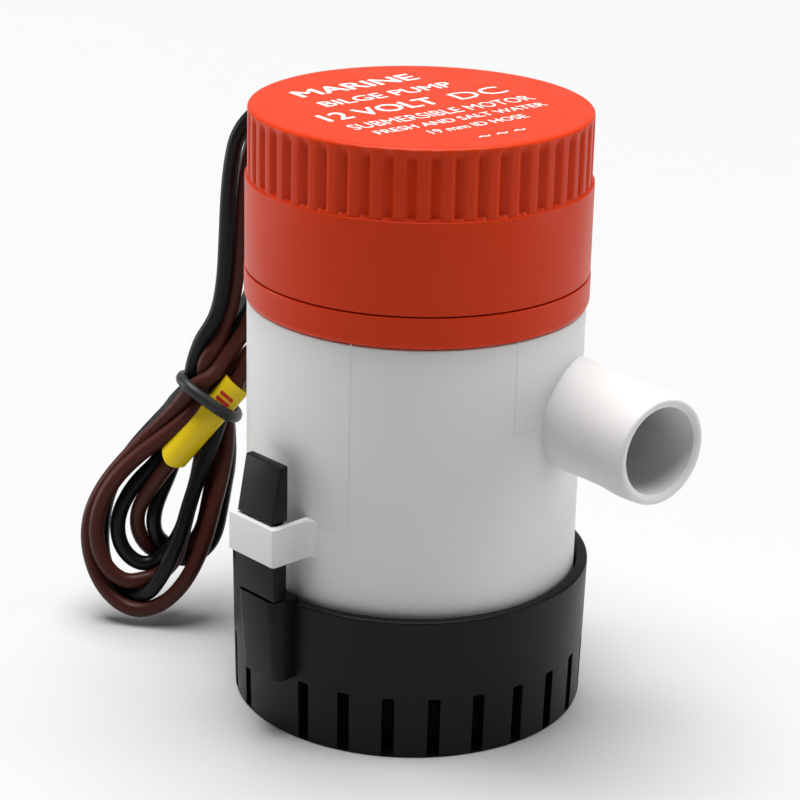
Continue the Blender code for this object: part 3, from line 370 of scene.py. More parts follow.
def as_object(name, *parts, smooth=35.0):
    """One object out of one or more bmeshes, shaded smooth up to an angle."""
    mesh = bpy.data.meshes.new(name)
    whole = gathered(parts)
    whole.to_mesh(mesh)
    whole.free()
    item = bpy.data.objects.new(name, mesh)
    bpy.context.scene.collection.objects.link(item)
    mesh.shade_smooth()
    mesh.set_sharp_from_angle(angle=math.radians(smooth))
    return item


def as_bmesh(item):
    """An object's shape as a bmesh, in place of the object."""
    graph = bpy.context.evaluated_depsgraph_get()
    mesh = bpy.data.meshes.new_from_object(item.evaluated_get(graph))
    bm = bmesh.new()
    bm.from_mesh(mesh)
    bpy.data.meshes.remove(mesh)
    bpy.data.objects.remove(item, do_unlink=True)
    return bm


def round_uprights(bm, rounding, segments, beyond):
    """Round a block's upright edges that lie further out along X than beyond."""
    bevel(bm, [edge for edge in bm.edges if min(vert.co.x for vert in edge.verts) > beyond
               and abs(edge.verts[0].co.z - edge.verts[1].co.z) > MM], rounding, segments)


def turned(bm, bearing):
    """A bmesh that was built on +X, turned to a bearing."""
    bmesh.ops.rotate(bm, cent=(0, 0, 0), matrix=Matrix.Rotation(bearing, 3, "Z"), verts=bm.verts)
    return bm


def rod(radius, low, high, segments):
    """An upright rod on the Z axis, between two heights."""
    bm = bmesh.new()
    bmesh.ops.create_cone(bm, cap_ends=True, segments=segments, radius1=radius, radius2=radius,
                          depth=high - low, matrix=Matrix.Translation((0, 0, (low + high) / 2)))
    return bm


def merge(item, tool):
    """Add a bmesh tool to an object, and apply it."""
    return carve(item, tool, "UNION")


def carve(item, tool, operation="DIFFERENCE"):
    """Cut a bmesh tool out of an object, and apply it."""
    cutter = as_object(item.name + "_tool", tool)
    cutting = item.modifiers.new("cut", "BOOLEAN")
    cutting.operation = operation
    cutting.solver = "EXACT"
    cutting.object = cutter
    graph = bpy.context.evaluated_depsgraph_get()
    mesh = bpy.data.meshes.new_from_object(item.evaluated_get(graph))
    item.modifiers.clear()
    old = item.data
    item.data = mesh
    bpy.data.meshes.remove(old)
    bpy.data.objects.remove(cutter, do_unlink=True)
    item.data.shade_smooth()
    item.data.set_sharp_from_angle(angle=math.radians(35))
    return item


def dress(item, material, body, slot, *nodes):
    """Give a finished piece its material, its body and the parts it stands for; the slot argument is
    not used.
    """
    item.data.materials.clear()
    item.data.materials.append(material)
    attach(item, body)
    if nodes:
        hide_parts(*nodes)
    return item


def lay_along_x(bm):
    """Turn a bmesh that was spun round Z so that its top points along +X, on the outlet's axis."""
    bmesh.ops.transform(bm, verts=bm.verts,
                        matrix=Matrix.Translation((0, OUTLET_ASIDE, OUTLET_LEVEL))
                        @ Matrix.Rotation(math.pi / 2, 4, "Y"))
    return bm


# ---- leads

HANK_BEARING = math.radians(51.4)
HANK_TILT = math.radians(14.5)
HANK_SETBACK = 20.0
ACROSS = Vector((math.cos(HANK_BEARING), math.sin(HANK_BEARING), 0.0))
BEHIND = Vector((-math.sin(HANK_BEARING), math.cos(HANK_BEARING), 0.0))
UPWARD = math.sin(HANK_TILT) * BEHIND + math.cos(HANK_TILT) * Vector((0, 0, 1))
FRONT = ACROSS.cross(UPWARD)
TIE_CENTRE = (-39.3, 44.6)
TIE_LEAN = math.radians(35)

# Knots in millimetres. Those from the gland are (x, y, z); those in the hank are across it,
# up it and towards its front.
FROM_GLAND = {
    "black": ((-34.4, -1.7, 102.0), (-38.0, -2.2, 102.0), (-41.5, -4.2, 100.6),
              (-43.7, -6.8, 97.2), (-44.8, -8.4, 92.5), (-45.4, -9.1, 85.0),
              (-45.7, -9.4, 76.0), (-46.0, -9.8, 67.0), (-47.0, -10.9, 59.0)),
    "brown": ((-34.4, 1.7, 102.0), (-38.5, 1.2, 102.2), (-42.1, -0.6, 100.4),
              (-44.0, -3.2, 96.3), (-45.0, -5.0, 90.5), (-45.6, -5.8, 83.0),
              (-45.9, -6.1, 75.0), (-46.3, -6.7, 67.0), (-47.3, -7.8, 59.2)),
}
IN_HANK = {
    "black": (
        (-41.6, 50.2, 3.0), (-42.4, 46.8, 1.5), (-45.2, 43.2, -0.6), (-49.0, 39.6, -2.6),
        (-55.0, 32.6, -3.2), (-59.0, 25.0, -3.0), (-60.2, 17.0, -2.6), (-59.6, 10.9, -2.2),
        (-57.4, 6.6, -1.4), (-53.8, 4.7, -0.2), (-50.2, 6.6, 1.8), (-46.7, 11.4, 3.8),
        (-44.1, 17.7, 4.6), (-42.6, 23.8, 4.6), (-40.4, 30.6, 4.2), (-38.4, 37.0, 3.0),
        (-36.6, 43.0, 1.5), (-32.6, 48.6, 0.4), (-24.5, 54.6, 0.0), (-16.0, 60.8, 0.0),
        (-11.6, 68.6, 0.0), (-11.6, 76.4, 0.0), (-15.4, 82.2, 0.0), (-21.2, 83.8, 0.0),
        (-26.8, 80.8, 0.0), (-29.6, 74.8, 0.2), (-30.2, 68.0, 0.6), (-32.0, 61.6, 1.0),
        (-36.4, 55.6, 0.6), (-40.2, 50.4, -0.6), (-42.4, 46.4, -1.6), (-45.4, 38.6, -0.6),
        (-48.8, 32.0, 0.4), (-53.0, 27.6, 0.9), (-56.0, 23.0, 1.0), (-57.0, 18.6, 0.8),
        (-56.0, 14.4, 0.2), (-53.6, 11.6, -0.4), (-50.4, 10.6, -1.0), (-47.0, 13.0, -1.4),
        (-44.2, 18.4, -1.6), (-42.6, 24.2, -1.6), (-40.8, 31.0, -1.6), (-39.6, 38.0, -1.6),
        (-39.3, 44.4, -1.6), (-34.0, 49.8, -2.8), (-25.6, 54.0, -3.2), (-16.6, 59.6, -3.2),
        (-11.6, 67.2, -3.2), (-11.2, 75.6, -3.2), (-15.0, 82.2, -3.2), (-21.0, 84.2, -3.2),
        (-26.8, 81.2, -3.2), (-29.6, 75.2, -3.2), (-30.6, 68.0, -3.2), (-33.4, 60.6, -3.6),
        (-37.6, 53.2, -4.2), (-41.2, 47.4, -4.6), (-44.2, 38.4, -3.8), (-46.8, 29.6, -2.4),
        (-49.2, 24.0, -1.0), (-50.2, 19.8, -0.8), (-49.4, 15.8, -2.0), (-46.4, 12.6, -4.0),
        (-41.6, 12.4, -4.6), (-38.2, 16.0, -4.4), (-37.0, 22.4, -4.0), (-36.0, 30.0, -4.0),
        (-36.0, 37.2, -4.4), (-36.2, 43.0, -4.6), (-32.0, 49.4, -5.6), (-25.0, 55.6, -6.0),
        (-17.8, 62.2, -6.2), (-14.2, 69.4, -6.2), (-14.6, 76.0, -6.2),
    ),
    "brown": (
        (-40.2, 52.6, 4.6), (-40.4, 47.6, 4.4), (-41.2, 43.0, 4.6), (-46.4, 38.2, 4.2),
        (-51.9, 33.8, 3.6), (-56.5, 29.2, 3.0), (-59.6, 24.0, 2.6), (-60.8, 18.5, 2.4),
        (-60.0, 13.6, 2.2), (-58.0, 10.0, 1.8), (-55.0, 7.8, 1.4), (-51.0, 7.6, 0.8),
        (-47.2, 10.4, 0.6), (-44.4, 16.8, 1.2), (-42.7, 23.6, 1.5), (-40.6, 30.8, 1.4),
        (-39.4, 38.0, 1.4), (-39.3, 44.6, 1.4), (-34.4, 50.6, 2.4), (-26.0, 55.4, 3.0),
        (-17.4, 61.0, 3.2), (-12.4, 68.4, 3.2), (-12.2, 76.0, 3.2), (-15.8, 81.6, 3.2),
        (-21.2, 83.2, 3.2), (-26.4, 80.4, 3.2), (-29.2, 74.6, 3.4), (-29.4, 67.6, 3.8),
        (-30.4, 61.0, 4.2), (-33.9, 55.4, 4.6), (-38.6, 50.2, 4.6), (-42.4, 45.4, 4.4),
        (-46.9, 40.4, 2.8), (-52.7, 34.9, 1.2), (-58.4, 28.4, 0.2), (-61.8, 22.2, -0.2),
        (-62.6, 16.2, -0.2), (-61.2, 10.4, 0.0), (-57.7, 5.2, 0.6), (-52.7, 2.7, 1.4),
        (-47.3, 4.2, 2.6), (-43.0, 9.0, 4.0), (-39.8, 15.8, 4.4), (-38.0, 23.0, 4.0),
        (-36.2, 30.7, 2.0), (-35.6, 37.2, -0.4), (-36.2, 43.0, -1.6), (-32.2, 48.6, -1.0),
        (-25.0, 55.6, 0.4), (-18.4, 62.2, 0.6), (-15.0, 69.2, 0.8), (-15.0, 75.4, 1.0),
        (-18.0, 79.8, 1.2), (-22.0, 80.0, 1.4), (-25.4, 76.6, 1.8), (-26.6, 70.6, 2.4),
        (-27.4, 63.8, 3.4), (-29.6, 56.8, 4.6), (-33.6, 47.6, 5.0), (-38.0, 42.2, 4.8),
        (-42.2, 37.0, 4.4), (-46.4, 32.0, 3.4), (-48.6, 29.2, 2.4), (-51.5, 25.4, 1.0),
        (-53.2, 21.6, -0.2), (-53.2, 18.0, -1.4), (-51.8, 15.2, -2.6), (-48.6, 13.2, -3.8),
        (-44.6, 13.4, -4.6), (-40.6, 17.4, -1.6), (-39.2, 24.0, -1.2), (-38.2, 31.0, -3.0),
        (-38.8, 38.0, -4.4), (-39.2, 44.4, -4.6), (-34.0, 50.4, -5.8), (-28.0, 56.6, -6.4),
        (-21.6, 63.4, -6.8), (-18.6, 70.0, -6.6),
    ),
}
SLEEVE_ENDS = ((-46.6, 32.0, 4.2), (-33.6, 47.6, 5.2))


def in_hank(across, up, front):
    """World place, in metres, of millimetres in the hank's own plane."""
    return (HANK_SETBACK * BEHIND + across * ACROSS + up * UPWARD + front * FRONT) * MM


def smooth_route(knots, spacing):
    """Evenly spaced points on one smooth curve through the knots."""
    ends = [2 * knots[0] - knots[1]] + list(knots) + [2 * knots[-1] - knots[-2]]
    fine = []
    for before, start, end, after in zip(ends, ends[1:], ends[2:], ends[3:]):
        for step in range(12):
            t = step / 12
            fine.append(0.5 * (2 * start + (end - before) * t
                               + (2 * before - 5 * start + 4 * end - after) * t ** 2
                               + (3 * start - before - 3 * end + after) * t ** 3))
    fine.append(knots[-1])
    line = np.array([list(point) for point in fine])
    along = np.concatenate([[0.0], np.cumsum(np.linalg.norm(np.diff(line, axis=0), axis=1))])
    count = max(2, round(along[-1] / spacing))
    marks = np.linspace(0.0, along[-1], count + 1)
    return np.stack([np.interp(marks, along, line[:, axis]) for axis in range(3)], axis=1)


def settle(routes, gap, rounds=160):
    """Push the leads apart until they only touch, and keep them smooth and clear of the pump."""
    sizes = [len(route) for route in routes]
    points = np.concatenate(routes)
    order = np.concatenate([np.arange(size) + 1000 * index for index, size in enumerate(sizes)])
    near_in_line = np.abs(order[:, None] - order[None, :]) < 6
    ends = np.cumsum([0] + sizes)
    held = np.zeros(len(points), bool)
    for first, last in zip(ends, ends[1:]):
        held[first:first + 12] = True
        held[last - 1] = True
    start = points.copy()
    for _ in range(rounds):
        away = points[:, None, :] - points[None, :, :]
        distance = np.linalg.norm(away, axis=2) + 1e-9
        short = np.clip(gap - distance, 0.0, None)
        short[near_in_line] = 0.0
        push = (away / distance[:, :, None] * short[:, :, None]).sum(axis=1) * 0.35
        middle = points.copy()
        middle[1:-1] = (points[:-2] + points[2:]) / 2
        middle[ends[1:-1]] = points[ends[1:-1]]
        middle[ends[1:-1] - 1] = points[ends[1:-1] - 1]
        push += (middle - points) * 0.18 + (start - points) * 0.05
        from_axis = np.linalg.norm(points[:, :2], axis=1)
        inside = np.clip(0.0352 - from_axis, 0.0, None) * (points[:, 2] < 0.098)
        push[:, :2] += points[:, :2] / from_axis[:, None] * inside[:, None]
        push[:, 2] += np.clip(gap / 2 + 0.0001 - points[:, 2], 0.0, None)
        push[held] = 0.0
        points = points + push
    return [points[first:last] for first, last in zip(ends, ends[1:])]


def tube(name, points, radius, closed=False):
    """A round wire along points, one vertex of its spline for each point."""
    curve = bpy.data.curves.new(name, "CURVE")
    curve.dimensions = "3D"
    curve.bevel_depth = radius
    curve.bevel_resolution = 4
    curve.use_fill_caps = not closed
    spline = curve.splines.new("POLY")
    spline.points.add(len(points) - 1)
    for slot, point in zip(spline.points, points):
        slot.co = (*point, 1.0)
    spline.use_cyclic_u = closed
    spline.use_smooth = True
    item = bpy.data.objects.new(name, curve)
    bpy.context.scene.collection.objects.link(item)
    return item


class BILGE_OT_leads(bpy.types.Operator):
    """Lay the two supply leads from the gland into the tied hank"""

    bl_idname = "bilge.leads"
    bl_label = "Supply leads"

    def execute(self, context):
        diameter = context.scene.pump_sizes.lead_diameter
        names = ("black", "brown")
        routes = []
        for name in names:
            knots = [Vector(knot) * MM for knot in FROM_GLAND[name]]
            knots += [in_hank(*knot) for knot in IN_HANK[name]]
            routes.append(smooth_route(knots, 1.5 * MM))
        routes = settle(routes, diameter * 1.015)
        skins = {"black": black_insulation(), "brown": brown_insulation()}
        for name, route in zip(names, routes):
            fine = smooth_route([Vector(point) for point in route], 0.9 * MM)
            lead = tube(name + "_supply_lead", fine, diameter / 2)
            nodes = ["lead_" + name] + (["lead_hank"] if name == "black" else [])
            dress(lead, skins[name], "pump", name + "_lead", *nodes)
            self.on_leads(name)
        return {"FINISHED"}

    def on_leads(self, name):
        if name == "black":
            return [self.tie()]
        return [self.sleeve()] + self.sleeve_print()

    def tie(self):
        """The soft tie, a squarish ring round the waist."""
        ring = []
        for step in range(64):
            wide, deep = (size * math.copysign(abs(share) ** 0.75, share) for size, share in (
                (6.4, math.cos(step * math.tau / 64)), (8.2, math.sin(step * math.tau / 64))))
            ring.append(in_hank(TIE_CENTRE[0] + math.cos(TIE_LEAN) * wide,
                                TIE_CENTRE[1] - math.sin(TIE_LEAN) * wide, deep))
        item = tube("hank_tie", ring, 1.15 * MM, closed=True)
        material = plastic("Black tie", (0.018, 0.020, 0.022), 0.45, grain=0.8, drift=0.2, bump=0.06)
        return dress(item, material, "pump", "tie_wire", "lead_tie")

    def sleeve(self):
        """The flattened yellow sleeve on the brown lead, open at both ends."""
        low, high = (in_hank(*end) for end in SLEEVE_ENDS)
        length = (high - low).length
        half = length / 2
        walls = [(2.8, step) for step in range(13)] + [(2.62, step) for step in range(12, -1, -1)]
        bm = spun([Vector((radius * MM, length * step / 12 - half)) for radius, step in walls], 40,
                  closed=True)
        for vert in bm.verts:
            end = max(0.0, -vert.co.z / half - 0.8) / 0.2
            vert.co.z += 1.5 * MM * end * (vert.co.x / (2.8 * MM)) ** 2
            vert.co.y *= 0.70
        along = (high - low).normalized()
        side = (ACROSS * math.cos(TIE_LEAN + 0.2) - UPWARD * math.sin(TIE_LEAN + 0.2))
        side = (side - along * side.dot(along)).normalized()
        turn = Matrix((side, along.cross(side), along)).transposed().to_4x4()
        bmesh.ops.transform(bm, verts=bm.verts, matrix=Matrix.Translation((low + high) / 2) @ turn)
        item = as_object("lead_sleeve", bm)
        material = plastic("Yellow sleeve", bpy.context.scene.pump_colours.sleeve, 0.34, grain=0.4,
                           drift=0.1, bump=0.03)
        return dress(item, material, "pump", "yellow_sleeve", "lead_label")

    def sleeve_print(self):
        """Two plain red bars printed across the sleeve, above the tie."""
        low, high = (in_hank(*end) for end in SLEEVE_ENDS)
        along = (high - low).normalized()
        side = (FRONT.cross(along)).normalized()
        out = along.cross(side).normalized()
        bars = []
        for place in (0.80, 0.86):
            bar = slab((-1.5 * MM, -0.35 * MM, 1.90 * MM), (1.5 * MM, 0.35 * MM, 2.00 * MM))
            turn = Matrix((side, along, out)).transposed().to_4x4()
            bmesh.ops.transform(bar, verts=bar.verts,
                                matrix=Matrix.Translation(low.lerp(high, place)) @ turn)
            bars.append(bar)
        item = as_object("sleeve_bars", *bars)
        material = plastic("Red ink", (0.50, 0.020, 0.010), 0.5, grain=0.4, drift=0.1)
        return [dress(item, material, "pump", "yellow_sleeve")]


# ---- cap and ring

class BILGE_OT_cap(bpy.types.Operator):
    """Turn the ribbed motor cap and its printed top"""

    bl_idname = "bilge.cap"
    bl_label = "Motor cap"

    def execute(self, context):
        dress(self.shell(), cap_plastic(), "pump", "orange_plastic", "motor_cap")
        dress(self.cap_print(), plastic("White ink", (0.86, 0.84, 0.83), 0.5, grain=0.4, drift=0.05),
              "pump", "white_plastic")
        return {"FINISHED"}

    def shell(self):
        top, low = CAP_HIGH.z, CAP_LOW.z
        foot = top - RIB_HEIGHT
        depth = bpy.context.scene.pump_sizes.rib_depth
        skirt, bore, roof = 30.4 * MM, 28.1 * MM, 2.0 * MM
        profile = softened((
            (0.0, top, 0), (13.0 * MM, top, 0), (24.0 * MM, top, 0), (28.2 * MM, top, 0),
            (RIB_RADIUS, top, 1.0 * MM),
            *((RIB_RADIUS, top - drop * MM, 0) for drop in (1.5, 2, 2.6, 4, 7, 10)),
            (RIB_RADIUS, foot + 0.5 * MM, 0), (RIB_RADIUS, foot, 0.1 * MM),
            (skirt, foot, 0.2 * MM), (skirt, low + 8 * MM, 0), (skirt, low, 0.12 * MM),
            (bore, low, 0.2 * MM), (bore, top - roof - MM, 0.8 * MM),
            (bore - 1.1 * MM, top - roof, 0), (0.0, top - roof, 0)))
        bm = spun(profile, RIB_COUNT * 12)
        pitch = math.tau / RIB_COUNT
        for vert in bm.verts:
            reach = math.hypot(vert.co.x, vert.co.y)
            if reach < 28.9 * MM or reach > 30.0 * MM or vert.co.z < foot + 0.12 * MM:
                continue
            turn = (math.atan2(vert.co.y, vert.co.x) / pitch) % 1.0
            aside = max(0.0, 1.0 - abs(turn - 0.5) / 0.33)
            cut = depth * aside * aside * (3 - 2 * aside)
            cut *= min(1.0, (vert.co.z - foot) / (0.4 * MM))
            cut *= min(1.0, max(0.0, (top - 0.45 * MM - vert.co.z) / (1.5 * MM)))
            scale = max(0.0, reach - cut) / reach
            vert.co.x *= scale
            vert.co.y *= scale
        item = as_object("ribbed_cap", bm, smooth=65)
        hole = bmesh.new()
        bmesh.ops.create_cone(hole, cap_ends=True, segments=48, radius1=4.6 * MM,
                              radius2=4.6 * MM, depth=8 * MM,
                              matrix=Matrix.Translation((-29 * MM, 0, GLAND_LEVEL))
                              @ Matrix.Rotation(math.pi / 2, 4, "Y"))
        return carve(item, hole)

    def cap_print(self):
        """Generic white words and a wave mark."""
        lines = (
            ("MARINE", 6.3, -15.0, -1.5, 1.18, 5), ("BILGE PUMP", 5.0, -7.3, -0.7, 1.08, 3),
            ("12 VOLT", 6.6, 1.2, -9.0, 1.02, 5), ("DC", 6.6, 1.2, 13.4, 1.25, 1),
            ("SUBMERSIBLE MOTOR", 4.7, 7.9, -0.5, 0.86, 1),
            ("FRESH AND SALT WATER", 3.3, 12.4, -0.4, 0.98, 2),
            ("19 mm ID HOSE", 3.3, 17.0, -0.8, 0.95, 2), ("~ ~ ~", 5.5, 24.2, -1.1, 0.8, 2))
        height = bpy.context.scene.pump_sizes.print_height
        level = CAP_HIGH.z - 0.01 * MM
        whole = bmesh.new()
        for words, size, line, middle, stretch, strokes in lines:
            font = bpy.data.curves.new("print", "FONT")
            font.body = words
            font.size = size * MM
            font.align_x = "CENTER"
            font.extrude = height / 2
            font.resolution_u = 3
            text = bpy.data.objects.new("print", font)
            bpy.context.scene.collection.objects.link(text)
            graph = bpy.context.evaluated_depsgraph_get()
            mesh = bpy.data.meshes.new_from_object(text.evaluated_get(graph))
            mesh.transform(Matrix.Rotation(math.pi / 2, 4, "Z") @ Matrix.Diagonal((stretch, 1, 1, 1)))
            mesh.transform(Matrix.Translation((line * MM, middle * MM, level + height / 2)))
            for _ in range(strokes):
                whole.from_mesh(mesh)
                mesh.transform(Matrix.Translation((-0.03 * MM, 0.07 * MM, 0.002 * MM)))
            bpy.data.objects.remove(text, do_unlink=True)
            bpy.data.meshes.remove(mesh)
        return as_object("cap_print", whole, smooth=20)


class BILGE_OT_ring(bpy.types.Operator):
    """Turn the plain ring between the cap and the housing"""

    bl_idname = "bilge.ring"
    bl_label = "Collar ring"

    def execute(self, context):
        low, top = RING_LOW.z, RING_HIGH.z
        inner = NECK_RADIUS + 0.3 * MM
        profile = softened((
            (inner, top, 0), (30.45 * MM, top, 0.1 * MM), (30.5 * MM, top - 0.3 * MM, 0.1 * MM),
            (30.5 * MM, low + 0.7 * MM, 0.3 * MM), (30.2 * MM, low, 0.2 * MM), (inner, low, 0)))
        item = as_object("collar_band", spun(profile, 256, closed=True), smooth=50)
        dress(item, cap_plastic(), "pump", "orange_plastic", "collar_ring")
        return {"FINISHED"}


# ---- housing

class BILGE_OT_housing(bpy.types.Operator):
    """Build the off-white shell, its hose outlet, its latch loops and its witness lines"""

    bl_idname = "bilge.housing"
    bl_label = "Pump housing"

    def execute(self, context):
        item = self.wall()
        merge(item, self.outlet())
        carve(item, rod(BODY_RADIUS - BODY_WALL, SHELL_LOW.z - MM, SHELL_HIGH.z + MM, 256))
        carve(item, lay_along_x(rod(OUTLET_BORE, 12 * MM, OUTLET_TIP - 0.6 * MM, 96)))
        loops = [self.loop(bearing) for bearing in LATCHES.values()]
        shell = as_object("housing_shell", as_bmesh(item), *loops, *self.witness_lines(), smooth=40)
        dress(shell, shell_plastic(), "pump", "white_plastic", "pump_housing")
        return {"FINISHED"}

    def wall(self):
        """The body without its bore: a plain cylinder with a narrower neck for the ring."""
        low, top = SHELL_LOW.z, SHELL_HIGH.z
        step = top - 5.4 * MM
        profile = softened((
            (0.0, top, 0), (NECK_RADIUS, top, 0.2 * MM), (NECK_RADIUS, step, 0.1 * MM),
            (BODY_RADIUS, step, 0.3 * MM), (BODY_RADIUS, low, 0.3 * MM), (0.0, low, 0)))
        return as_object("shell_wall", spun(profile, 256), smooth=50)

    def outlet(self):
        """The hose spigot: a rounded lip, a bulge, a waist and a plain root."""
        tip = OUTLET_TIP
        profile = softened((
            (0.0, tip - 0.6 * MM, 0), (OUTLET_BORE, tip - 0.6 * MM, 0), (8.5 * MM, tip, 0.5 * MM),
            (9.5 * MM, tip - 0.1 * MM, 0.8 * MM), (9.8 * MM, tip - 3 * MM, 1.5 * MM),
            (9.8 * MM, tip - 6 * MM, 1.0 * MM), (9.55 * MM, tip - 8.5 * MM, 2 * MM),
            (9.55 * MM, tip - 14 * MM, 2 * MM), (9.9 * MM, tip - 18.5 * MM, 2 * MM),
            (9.9 * MM, 12 * MM, 0), (0.0, 12 * MM, 0)), spans=5)
        return lay_along_x(spun(profile, 128))

    def witness_lines(self):
        """The fine lines that the mould's inserts leave in the wall."""
        lines = []
        for bearing, low, high in ((-60, 41, 75.2), (-4, 58.4, 75.2)):
            lines.append(self.strand(bearing, bearing + 0.3, low, high))
        for start, end, level in ((-78, -60, 40.9), (-4, 8.5, 58.3)):
            lines += [self.strand(start + (end - start) * step / 12,
                                  start + (end - start) * (step + 1.03) / 12, level, level + 0.16)
                      for step in range(12)]
        return lines

    def strand(self, start, end, low, high):
        """One stretch of a line, between two bearings in degrees and two heights in millimetres."""
        middle = math.radians((start + end) / 2)
        half = BODY_RADIUS * math.radians(end - start) / 2
        return turned(slab((BODY_RADIUS - 0.2 * MM, -half, low * MM),
                           (BODY_RADIUS + 0.03 * MM, half, high * MM)), middle)

    def loop(self, bearing):
        """A latch loop: a bar and two side walls that blend into the wall."""
        outer = BODY_RADIUS + 8.0 * MM
        half = 6.1 * MM
        bm = slab((BODY_RADIUS - 1.0 * MM, -half, LOOP_LOW), (outer, half, LOOP_HIGH))
        round_uprights(bm, 0.6 * MM, 4, outer - MM)
        item = as_object("loop", bm)
        for side in (-1, 1):
            merge(item, self.fillet(side, half))
        hollow = slab((BODY_RADIUS - 3 * MM, -4.85 * MM, LOOP_LOW - MM),
                      (BODY_RADIUS + 6.3 * MM, 4.85 * MM, LOOP_HIGH + MM))
        bm = as_bmesh(carve(item, hollow))
        bmesh.ops.dissolve_limit(bm, angle_limit=0.01, verts=bm.verts, edges=bm.edges)
        round_edges(bm, 0.22 * MM, segments=3, angle=math.radians(50))
        return turned(bm, bearing)

    def fillet(self, side, half):
        """The curve that blends one side wall of a loop into the body's wall."""
        reach, root, across = 32.4 * MM, 28.7 * MM, 7.6 * MM
        start = Vector((reach, half))
        bend = Vector((29.5 * MM, half))
        end = Vector((math.sqrt(BODY_RADIUS ** 2 - across ** 2) + 0.02 * MM, across))
        outline = [(1 - t) ** 2 * start + 2 * t * (1 - t) * bend + t ** 2 * end
                   for t in (step / 8 for step in range(9))]
        outline += [Vector(corner) for corner in (
            (root, across), (root, half - 0.6 * MM), (reach, half - 0.6 * MM))]
        bm = bmesh.new()
        low = LOOP_LOW + 0.15 * MM
        face = bm.faces.new([bm.verts.new((point.x, side * point.y, low)) for point in outline])
        lifted = bmesh.ops.extrude_face_region(bm, geom=[face])["geom"]
        bmesh.ops.translate(bm, vec=(0, 0, LOOP_HIGH - LOOP_LOW - 0.3 * MM),
                            verts=[item for item in lifted if isinstance(item, bmesh.types.BMVert)])
        bmesh.ops.recalc_face_normals(bm, faces=bm.faces)
        return bm


# ---- strainer

class BILGE_OT_strainer(bpy.types.Operator):
    """Build the slotted black strainer with its latch bosses"""

    bl_idname = "bilge.strainer"
    bl_label = "Strainer"

    def execute(self, context):
        basket = as_bmesh(self.basket())
        bosses = [self.boss(bearing) for bearing in LATCHES.values()]
        whole = as_object("strainer_basket", basket, *bosses)
        dress(whole, base_plastic(), "strainer", "black_plastic", "strainer")
        return {"FINISHED"}

    def basket(self):
        """The drum, with its slots, their toes below the floor's level and its fixing holes."""
        top, floor = 26.4 * MM, FLOOR_THICKNESS
        ledge = (11.9 * MM, 12.7 * MM)
        profile = softened((
            (0.0, floor, 0), (30.0 * MM, floor, 0), (30.0 * MM, ledge[0], 0),
            (28.4 * MM, ledge[0], 0), (28.4 * MM, ledge[1], 0), (30.5 * MM, ledge[1], 0),
            (30.5 * MM, top, 0.35 * MM), (32.5 * MM, top, 0.45 * MM), (32.3 * MM, 14 * MM, 0),
            (32.0 * MM, 0.0, 0.45 * MM), (24.0 * MM, 0.0, 0), (0.0, 0.0, 0)))
        item = as_object("basket", spun(profile, 250))
        bearings = [SLOT_START + SLOT_PITCH * index for index in range(SLOT_COUNT)]
        clear = [bearing for bearing in bearings
                 if min(abs(math.remainder(bearing - latch, math.tau))
                        for latch in LATCHES.values()) >= math.radians(8)]
        cuts = [turned(self.slot(), bearing) for bearing in clear]
        toes = [turned(slab((27.0 * MM, -SLOT_HALF_WIDTH, 0.25 * MM),
                            (34 * MM, SLOT_HALF_WIDTH, 2.5 * MM)), bearing) for bearing in clear]
        for index in range(3):
            hole = rod(2.3 * MM, -4 * MM, 4 * MM, 32)
            bmesh.ops.translate(hole, vec=(20 * MM, 0, 0), verts=hole.verts)
            cuts.append(turned(hole, index * math.tau / 3))
        return carve(carve(item, gathered(cuts)), gathered(toes))

    def slot(self):
        """A cutter for one slot, with its upper corners rounded."""
        bm = slab((28.5 * MM, -SLOT_HALF_WIDTH, FLOOR_THICKNESS), (34 * MM, SLOT_HALF_WIDTH, SLOT_TOP))
        bevel(bm, [edge for edge in bm.edges if min(vert.co.z for vert in edge.verts) > 11 * MM
                   and abs(edge.verts[0].co.x - edge.verts[1].co.x) > MM], 0.35 * MM, 2)
        return bm

    def boss(self, bearing):
        """The tapered guard round the foot of a latch's arm, open on top for its tongue."""
        outer, half, foot = 37.2 * MM, 5.0 * MM, 12.0 * MM
        bm = slab((31.2 * MM, -half, foot), (outer, half, BOSS_TOP))
        round_uprights(bm, 1.7 * MM, 3, outer - MM)
        for vert in bm.verts:
            if vert.co.x > 32.5 * MM:
                vert.co.x -= (BOSS_TOP - vert.co.z) / (BOSS_TOP - foot) * 1.2 * MM
        pocket = slab((34.2 * MM, -3.1 * MM, 24.9 * MM), (36.4 * MM, 3.1 * MM, 29 * MM))
        bm = as_bmesh(carve(as_object("boss", bm), pocket))
        bmesh.ops.dissolve_limit(bm, angle_limit=0.01, verts=bm.verts, edges=bm.edges)
        round_edges(bm, 0.2 * MM, segments=2, angle=math.radians(40))
        return turned(bm, bearing)


